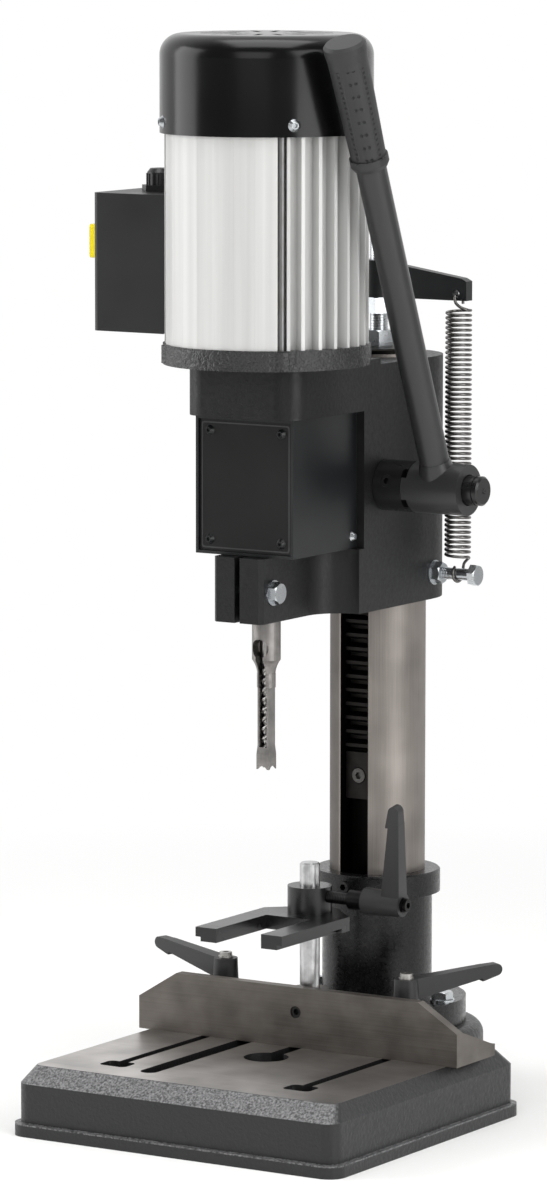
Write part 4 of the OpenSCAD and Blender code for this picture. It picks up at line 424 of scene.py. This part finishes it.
# painted shade: the colour is darkened towards the roots of the fins, where the light hardly reaches
fromAxis = addNode(tree, "ShaderNodeVectorMath", {"operation": "ADD", 1: housingLook["axis"]}, {0: place})
fromAxis = addNode(tree, "ShaderNodeVectorMath", {"operation": "MULTIPLY", 1: (1, 1, 0)},
                   {0: fromAxis.outputs[0]})
radius = addNode(tree, "ShaderNodeVectorMath", {"operation": "LENGTH"}, {0: fromAxis.outputs[0]})
shade = addNode(tree, "ShaderNodeMapRange", {
    "From Min": housingLook["rootMm"] * mm, "From Max": housingLook["tipMm"] * mm,
    "To Min": housingLook["rootShade"], "To Max": 1.0}, {"Value": radius.outputs["Value"]})
shaded = addNode(tree, "ShaderNodeVectorMath", {"operation": "SCALE"},
                 {0: tone.outputs[2], "Scale": shade.outputs[0]})
tree.links.new(shaded.outputs[0], shader.inputs["Base Color"])
flakeBump = addNode(tree, "ShaderNodeBump", {"Strength": housingLook["bump"],
                                             "Distance": housingLook["depthMm"] * mm},
                    {"Height": flake.outputs[0]})
tree.links.new(flakeBump.outputs[0], shader.inputs["Normal"])
paint(housingMat, "motor_housing")

# stoved paint or moulded plastic: an even colour with a grain from the coating or the mould
coatLook = {"bump": 0.3, "cloudMm": 60, "glossier": 0.85, "duller": 1.15}


def coatedSheet(name, look):
    mat, tree, shader, place = startMaterial(name, look)
    grain = addNode(tree, "ShaderNodeTexNoise", {"Scale": perMetre(look["grainMm"]), "Detail": 2.0},
                    {"Vector": place})
    clouds = addNode(tree, "ShaderNodeTexNoise", {"Scale": perMetre(coatLook["cloudMm"]), "Detail": 2.0},
                     {"Vector": place})
    bump = addNode(tree, "ShaderNodeBump", {"Strength": coatLook["bump"], "Distance": look["depthMm"] * mm},
                   {"Height": grain.outputs[0]})
    tree.links.new(bump.outputs[0], shader.inputs["Normal"])
    shine = addNode(tree, "ShaderNodeMapRange", {"From Min": noiseLow, "From Max": noiseHigh,
                                                 "To Min": look["roughness"] * coatLook["glossier"],
                                                 "To Max": look["roughness"] * coatLook["duller"]},
                    {"Value": clouds.outputs[0]})
    tree.links.new(shine.outputs[0], shader.inputs["Roughness"])
    return mat, tree, shader, place


# stoved gloss: deep black with long soft reflections
cowlLook = {"colour": "#0b0b0c", "roughness": 0.2, "ior": 1.36, "grainMm": 6, "depthMm": 0.03}
paint(coatedSheet("glossBlackStovedSheet", cowlLook)[0], "fan_cowl")
# satin paint on folded sheet: a faint blue-grey sheen
hoodLook = {"colour": "#0d0f11", "roughness": 0.38, "grainMm": 0.6, "depthMm": 0.05}
paint(coatedSheet("satinBlackSheet", hoodLook)[0], "chuck_hood", "hood_plate_screws", "spring_arm")
# a painted highlight: a thin light line just inside the plate's edge, standing in for the light caught by the
# edge of the hood round it
plateLook = {"colour": "#070707", "roughness": 0.34, "grainMm": 5, "depthMm": 0.02, "ior": 1.42,
             "highlightLineX": 33.6, "highlightLineZ": 41.2, "middleZ": 429.7, "highlightLineHalf": 0.45, "highlightLineCorner": 3,
             "highlightLine": "#3a3a3b"}
plateMat, tree, shader, place = coatedSheet("glossBlackPlate", plateLook)
centred = addNode(tree, "ShaderNodeVectorMath", {"operation": "SUBTRACT", 1: (0, 0, plateLook["middleZ"] * mm)},
                  {0: place})
centred = addNode(tree, "ShaderNodeVectorMath", {"operation": "ABSOLUTE"}, {0: centred.outputs[0]})
centred = addNode(tree, "ShaderNodeVectorMath", {
    "operation": "SUBTRACT", 1: (plateLook["highlightLineX"] * mm, 0, plateLook["highlightLineZ"] * mm)},
    {0: centred.outputs[0]})
across = addNode(tree, "ShaderNodeSeparateXYZ", {}, {0: centred.outputs[0]})
nearest = addNode(tree, "ShaderNodeMath", {"operation": "SMOOTH_MAX", 2: plateLook["highlightLineCorner"] * mm},
                  {0: across.outputs["X"], 1: across.outputs["Z"]})
onHighlightLine = addNode(tree, "ShaderNodeMath", {"operation": "COMPARE", 1: 0.0, 2: plateLook["highlightLineHalf"] * mm},
                 {0: nearest.outputs[0]})
highlightLineTone = addNode(tree, "ShaderNodeMix", {"data_type": "RGBA", 6: hexToLinear(plateLook["colour"]),
                                           7: hexToLinear(plateLook["highlightLine"])}, {0: onHighlightLine.outputs[0]})
tree.links.new(highlightLineTone.outputs[2], shader.inputs["Base Color"])
paint(plateMat, "hood_front_plate")
# moulded plastics: an even colour, the fine texture of the mould in the sheen
boxLook = {"colour": "#0a0a0b", "roughness": 0.42, "grainMm": 0.7, "depthMm": 0.08}
paint(coatedSheet("mouldedBlackAbs", boxLook)[0], "switch_box", "cooling_fan")
paint(coatedSheet("mouldedBlackNylon", dict(boxLook, roughness=0.34, colour="#0b0b0c"))[0], "cable_gland")
paint(coatedSheet("mouldedYellowAbs", dict(boxLook, colour="#e8d414", roughness=0.3))[0], "switch_bezel")
paint(coatedSheet("mouldedGreenAbs", dict(boxLook, colour="#1e8a3a", roughness=0.28))[0], "start_button")
paint(coatedSheet("mouldedRedAbs", dict(boxLook, colour="#b3201a", roughness=0.28))[0], "stop_button")

print("levers")
# enamel sprayed on turned steel: smooth, with a broad soft highlight
leverLook = {"colour": "#2a2a2b", "roughness": 0.36, "grainMm": 0.9, "depthMm": 0.05}
paint(coatedSheet("satinEnamelOnSteel", leverLook)[0], "feed_lever")
# the collar is handled less and keeps its gloss
paint(coatedSheet("glossEnamelOnSteel", dict(leverLook, colour="#151516", roughness=0.26))[0], "clutch_collar")
# black oxide: a thin dark skin that keeps the shine of the steel
blackOxide = coatedSheet("blackOxideSteel", dict(leverLook, colour="#141414", roughness=0.3))[0]
paint(blackOxide, "collar_set_screw", "shaft_end_cap", "post_lock_screw", "socket_set_screw")
# dipped vinyl: soft and grey; a sunk panel on each side has pricked dots on its edges and down its middle
gripLook = {"colour": "#2a2a2b", "dot": "#0c0c0c", "roughness": 0.5, "grainMm": 0.8, "depthMm": 0.08,
            "axis": (86, -63.1, 424.2), "lean": 22.5, "radius": 12.75, "low": 241, "high": 306,
            "panelFacing": -56, "panelEdge": 7.0, "panelOut": 0.5, "panelIn": 0.3, "panelDepth": 0.45,
            "rowAt": 8.8, "rowPitch": 3.6, "middleAt": 1.8, "middlePitch": 9.0,
            "dotRadius": 0.95, "dotFade": 0.3, "dotDepth": 0.6}
gripMat, tree, shader, place = coatedSheet("mouldedVinylGrip", gripLook)
toMm = addNode(tree, "ShaderNodeVectorMath", {"operation": "SCALE", "Scale": 1000.0}, {0: place})
fromHub = addNode(tree, "ShaderNodeVectorMath", {"operation": "SUBTRACT", 1: gripLook["axis"]},
                  {0: toMm.outputs[0]})
leanBack = -math.radians(gripLook["lean"])
upright = addNode(tree, "ShaderNodeVectorRotate", {"rotation_type": "X_AXIS", "Angle": leanBack},
                  {0: fromHub.outputs[0]})
local = addNode(tree, "ShaderNodeSeparateXYZ", {}, {0: upright.outputs[0]})
bearing = addNode(tree, "ShaderNodeMath", {"operation": "ARCTAN2"},
                  {0: local.outputs["Y"], 1: local.outputs["X"]})
# folded over twice, so that both panels and both halves of each come out of one pattern
for settings in ({"operation": "SUBTRACT", 1: math.radians(gripLook["panelFacing"])},
                 {"operation": "WRAP", 1: math.pi / 2, 2: -math.pi / 2}, {"operation": "ABSOLUTE"},
                 {"operation": "MULTIPLY", 1: gripLook["radius"]}):
    bearing = addNode(tree, "ShaderNodeMath", settings, {0: bearing.outputs[0]})
arc = bearing.outputs[0]
dots = []
for at, pitch in ((gripLook["rowAt"], gripLook["rowPitch"]), (gripLook["middleAt"], gripLook["middlePitch"])):
    aside = addNode(tree, "ShaderNodeMath", {"operation": "SUBTRACT", 1: at}, {0: arc})
    along = addNode(tree, "ShaderNodeMath", {"operation": "WRAP", 1: pitch / 2, 2: -pitch / 2},
                    {0: local.outputs["Z"]})
    pair = addNode(tree, "ShaderNodeCombineXYZ", {}, {0: aside.outputs[0], 1: along.outputs[0]})
    apart = addNode(tree, "ShaderNodeVectorMath", {"operation": "LENGTH"}, {0: pair.outputs[0]})
    dots.append(addNode(tree, "ShaderNodeMapRange", {
        "From Min": gripLook["dotRadius"] * (1 + gripLook["dotFade"]),
        "From Max": gripLook["dotRadius"] * (1 - gripLook["dotFade"])}, {"Value": apart.outputs["Value"]}))
anyDot = addNode(tree, "ShaderNodeMath", {"operation": "MAXIMUM"},
                 {0: dots[0].outputs[0], 1: dots[1].outputs[0]})
halfLength = (gripLook["high"] - gripLook["low"]) / 2
lengthwise = addNode(tree, "ShaderNodeMath", {"operation": "COMPARE", 1: gripLook["low"] + halfLength,
                                              2: halfLength}, {0: local.outputs["Z"]})
anyDot = addNode(tree, "ShaderNodeMath", {"operation": "MULTIPLY"},
                 {0: anyDot.outputs[0], 1: lengthwise.outputs[0]})
panel = addNode(tree, "ShaderNodeMapRange", {
    "From Min": gripLook["panelEdge"] + gripLook["panelOut"],
    "From Max": gripLook["panelEdge"] - gripLook["panelIn"],
    "To Max": gripLook["panelDepth"] / gripLook["dotDepth"]}, {"Value": arc})
panel = addNode(tree, "ShaderNodeMath", {"operation": "MULTIPLY"},
                {0: panel.outputs[0], 1: lengthwise.outputs[0]})
sunk = addNode(tree, "ShaderNodeMath", {"operation": "ADD"}, {0: anyDot.outputs[0], 1: panel.outputs[0]})
grainNormal = shader.inputs["Normal"].links[0].from_socket
dotBump = addNode(tree, "ShaderNodeBump", {"invert": True, "Distance": gripLook["dotDepth"] * mm},
                  {"Height": sunk.outputs[0], "Normal": grainNormal})
tree.links.new(dotBump.outputs[0], shader.inputs["Normal"])
# the dots are painted darker than the grip: painted shade in the sunk dots
dotShadeTone = addNode(tree, "ShaderNodeMix", {"data_type": "RGBA", 6: hexToLinear(gripLook["colour"]),
                                          7: hexToLinear(gripLook["dot"])}, {0: anyDot.outputs[0]})
tree.links.new(dotShadeTone.outputs[2], shader.inputs["Base Color"])
paint(gripMat, "lever_grip")
# glass-filled nylon: dark grey, slightly rough where the fibres come through
nylonLook = {"colour": "#232324", "roughness": 0.46, "grainMm": 0.7, "depthMm": 0.06}
paint(coatedSheet("glassFilledNylon", nylonLook)[0],
      "left_clamp_lever", "right_clamp_lever", "hold_down_lever")
# enamel on a forging: glossy over slow hammer-soft waves
forkLook = {"colour": "#121213", "roughness": 0.3, "grainMm": 1.4, "depthMm": 0.1}
paint(coatedSheet("enamelledForging", forkLook)[0], "hold_down_fork", "hold_down_collar")

print("return spring")
# the same wire path as the solid, in millimetres, with rounder wire and more rings
springLook = {"axisX": 62.5, "outer": 18.2, "wire": 2.0, "curls": 50, "top": 537.1, "bottom": 371.0,
              "hookZ": 546.6, "anchorZ": 359.0, "anchorRadius": 4, "armHalf": 4.0, "bendSteps": 4,
              "rings": 20, "sides": 10}


def tubeAlong(points, radius, sides):
    verts, faces = [], []
    side = Vector((0, 0.3, 1))
    for i, point in enumerate(points):
        before, after = points[max(i - 1, 0)], points[min(i + 1, len(points) - 1)]
        along = (after - before).normalized()
        side = (side - along * side.dot(along)).normalized()
        across = along.cross(side)
        for k in range(sides):
            a = 2 * math.pi * k / sides
            verts.append(point + radius * (math.cos(a) * side + math.sin(a) * across))
    for i in range(len(points) - 1):
        for k in range(sides):
            a, b = i * sides + k, i * sides + (k + 1) % sides
            faces.append((a, b, b + sides, a + sides))
    faces.append(tuple(reversed(range(sides))))
    faces.append(tuple(range((len(points) - 1) * sides, len(points) * sides)))
    return verts, faces


def smoothThrough(points, steps):
    # a smooth curve through the hook's points, so that the bends look drawn and not folded
    out = []
    for i in range(len(points) - 1):
        p0, p1 = points[max(i - 1, 0)], points[i]
        p2, p3 = points[i + 1], points[min(i + 2, len(points) - 1)]
        for s in range(steps):
            t = s / steps
            out.append(0.5 * ((2 * p1) + (p2 - p0) * t + (2 * p0 - 5 * p1 + 4 * p2 - p3) * t * t
                              + (3 * p1 - p0 - 3 * p2 + p3) * t ** 3))
    return out


def springPath(look):
    x, wire, hookZ = look["axisX"], look["wire"], look["hookZ"]
    coil = (look["outer"] - wire) / 2
    out = look["armHalf"] + wire / 2 + 0.5  # half a millimetre clear of the arm
    # up one side of the arm, over its notch, down the other side and into the first turn
    topHook = [(x, out, hookZ - 2 * wire - 1.8), (x, out, hookZ - wire - 1.8), (x, out - 0.2, hookZ - 1.4),
               (x, out - 1.5, hookZ - 0.1), (x, 0, hookZ), (x, -out + 1.5, hookZ - 0.1),
               (x, -out + 0.2, hookZ - 1.4), (x + 0.8, -out, hookZ - 4.4),
               (x + 3.6, -out + 0.8, look["top"] + 2.4), (x + 7, -3.2, look["top"] + 0.9)]
    count = look["curls"] * look["rings"]
    turns = []
    for i in range(count + 1):
        a = 2 * math.pi * i / look["rings"]
        drop = (look["top"] - look["bottom"]) * i / count
        turns.append((x + coil * math.cos(a), coil * math.sin(a), look["top"] - drop))
    # out of the last turn and round the anchor bolt
    eye = look["anchorRadius"] + wire / 2 + 0.1
    lowHook = [(x + 7.2, 2.9, look["bottom"] - 0.9), (x + 4.4, 5, look["bottom"] - 2.6),
               (x + 1.8, eye + 0.2, look["bottom"] - 5.6)]
    for i in range(11):
        a = math.radians(12 - 262 * i / 10)
        lowHook.append((x + 1.2 - 2.4 * i / 10, eye * math.cos(a), look["anchorZ"] + eye * math.sin(a)))
    topHook, turns, lowHook = [[Vector(p) for p in run] for run in (topHook, turns, lowHook)]
    start = smoothThrough(topHook + turns[:1], look["bendSteps"])
    finish = smoothThrough(turns[-1:] + lowHook, look["bendSteps"])
    return start + turns[:-1] + finish + [lowHook[-1]]


def addPiece(name, verts, faces, mat):
    mesh = bpy.data.meshes.new(name)
    mesh.from_pydata([Vector(v) * mm for v in verts], [], faces)
    mesh.materials.append(mat)
    for face in mesh.polygons:
        face.use_smooth = len(face.vertices) < 6  # the ends stay flat
    piece = bpy.data.objects.new(name, mesh)
    bpy.context.scene.collection.objects.link(piece)
    return piece


verts, faces = tubeAlong(springPath(springLook), springLook["wire"] / 2, springLook["sides"])
coil = addPiece("springCoil", verts, faces, springWire)
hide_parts("return_spring")
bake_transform(coil)

print("threads")
threadShape = {"sides": 28, "crestFrom": 0.38, "crestTo": 0.5, "rootFrom": 0.88}  # shares of the pitch


def threadedRod(name, look, mat):
    # a ridge that winds up the rod: crest, flank, root, flank
    pitch, crest, root, sides = look["pitch"], look["crest"], look["root"], threadShape["sides"]
    profile = [(0.0, root), (threadShape["crestFrom"], crest), (threadShape["crestTo"], crest),
               (threadShape["rootFrom"], root)]
    start, end = look["from"], look["to"]
    rings = int((end - start) / pitch) * sides + 1
    verts, faces = [], []
    for i in range(rings):
        a = 2 * math.pi * i / sides
        for share, radius in profile:
            h = start + pitch * i / sides + share * pitch - pitch / 2
            verts.append((radius * math.cos(a), radius * math.sin(a), max(start, min(end, h))))
    n = len(profile)
    for i in range(rings - 1):
        for k in range(n - 1):
            a = i * n + k
            faces.append((a, a + n, a + n + 1, a + 1))
        # the last profile point meets the first one a turn later
        if i + sides < rings - 1:
            a, b = i * n + n - 1, (i + sides) * n
            faces.append((a, a + n, b + n, b))
    if look["axis"] == "x":
        verts = [(z, x, y) for x, y, z in verts]
    moved = [Vector(v) + Vector(look["at"]) for v in verts]
    piece = addPiece(name, moved, faces, mat)
    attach(piece, look["body"])


threadLook = {
    "studThreadLow": {"axis": "z", "at": (0, 0, 0), "from": 521.4, "to": 532.6, "crest": 6.2, "root": 5.75,
                      "pitch": 1.75, "body": "base", "slot": "zinc_bolts"},
    "studThreadTop": {"axis": "z", "at": (0, 0, 0), "from": 568.8, "to": 586.2, "crest": 6.2, "root": 5.75,
                      "pitch": 1.75, "body": "base", "slot": "zinc_bolts"},
    "anchorThread": {"axis": "x", "at": (0, 0, 359), "from": 51.8, "to": 57.5, "crest": 4.15, "root": 3.8,
                     "pitch": 1.25, "body": "head", "slot": "zinc_bolts"},
    "clampStudThread": {"axis": "x", "at": (0, -87.2, 147.2), "from": 15.3, "to": 32, "crest": 4.12,
                        "root": 3.8, "pitch": 1.25, "body": "hold_clamp", "slot": "insert_steel"},
}
for name, look in threadLook.items():
    threadedRod(name, look, blackOxide if name == "clampStudThread" else zinc)

print("size")
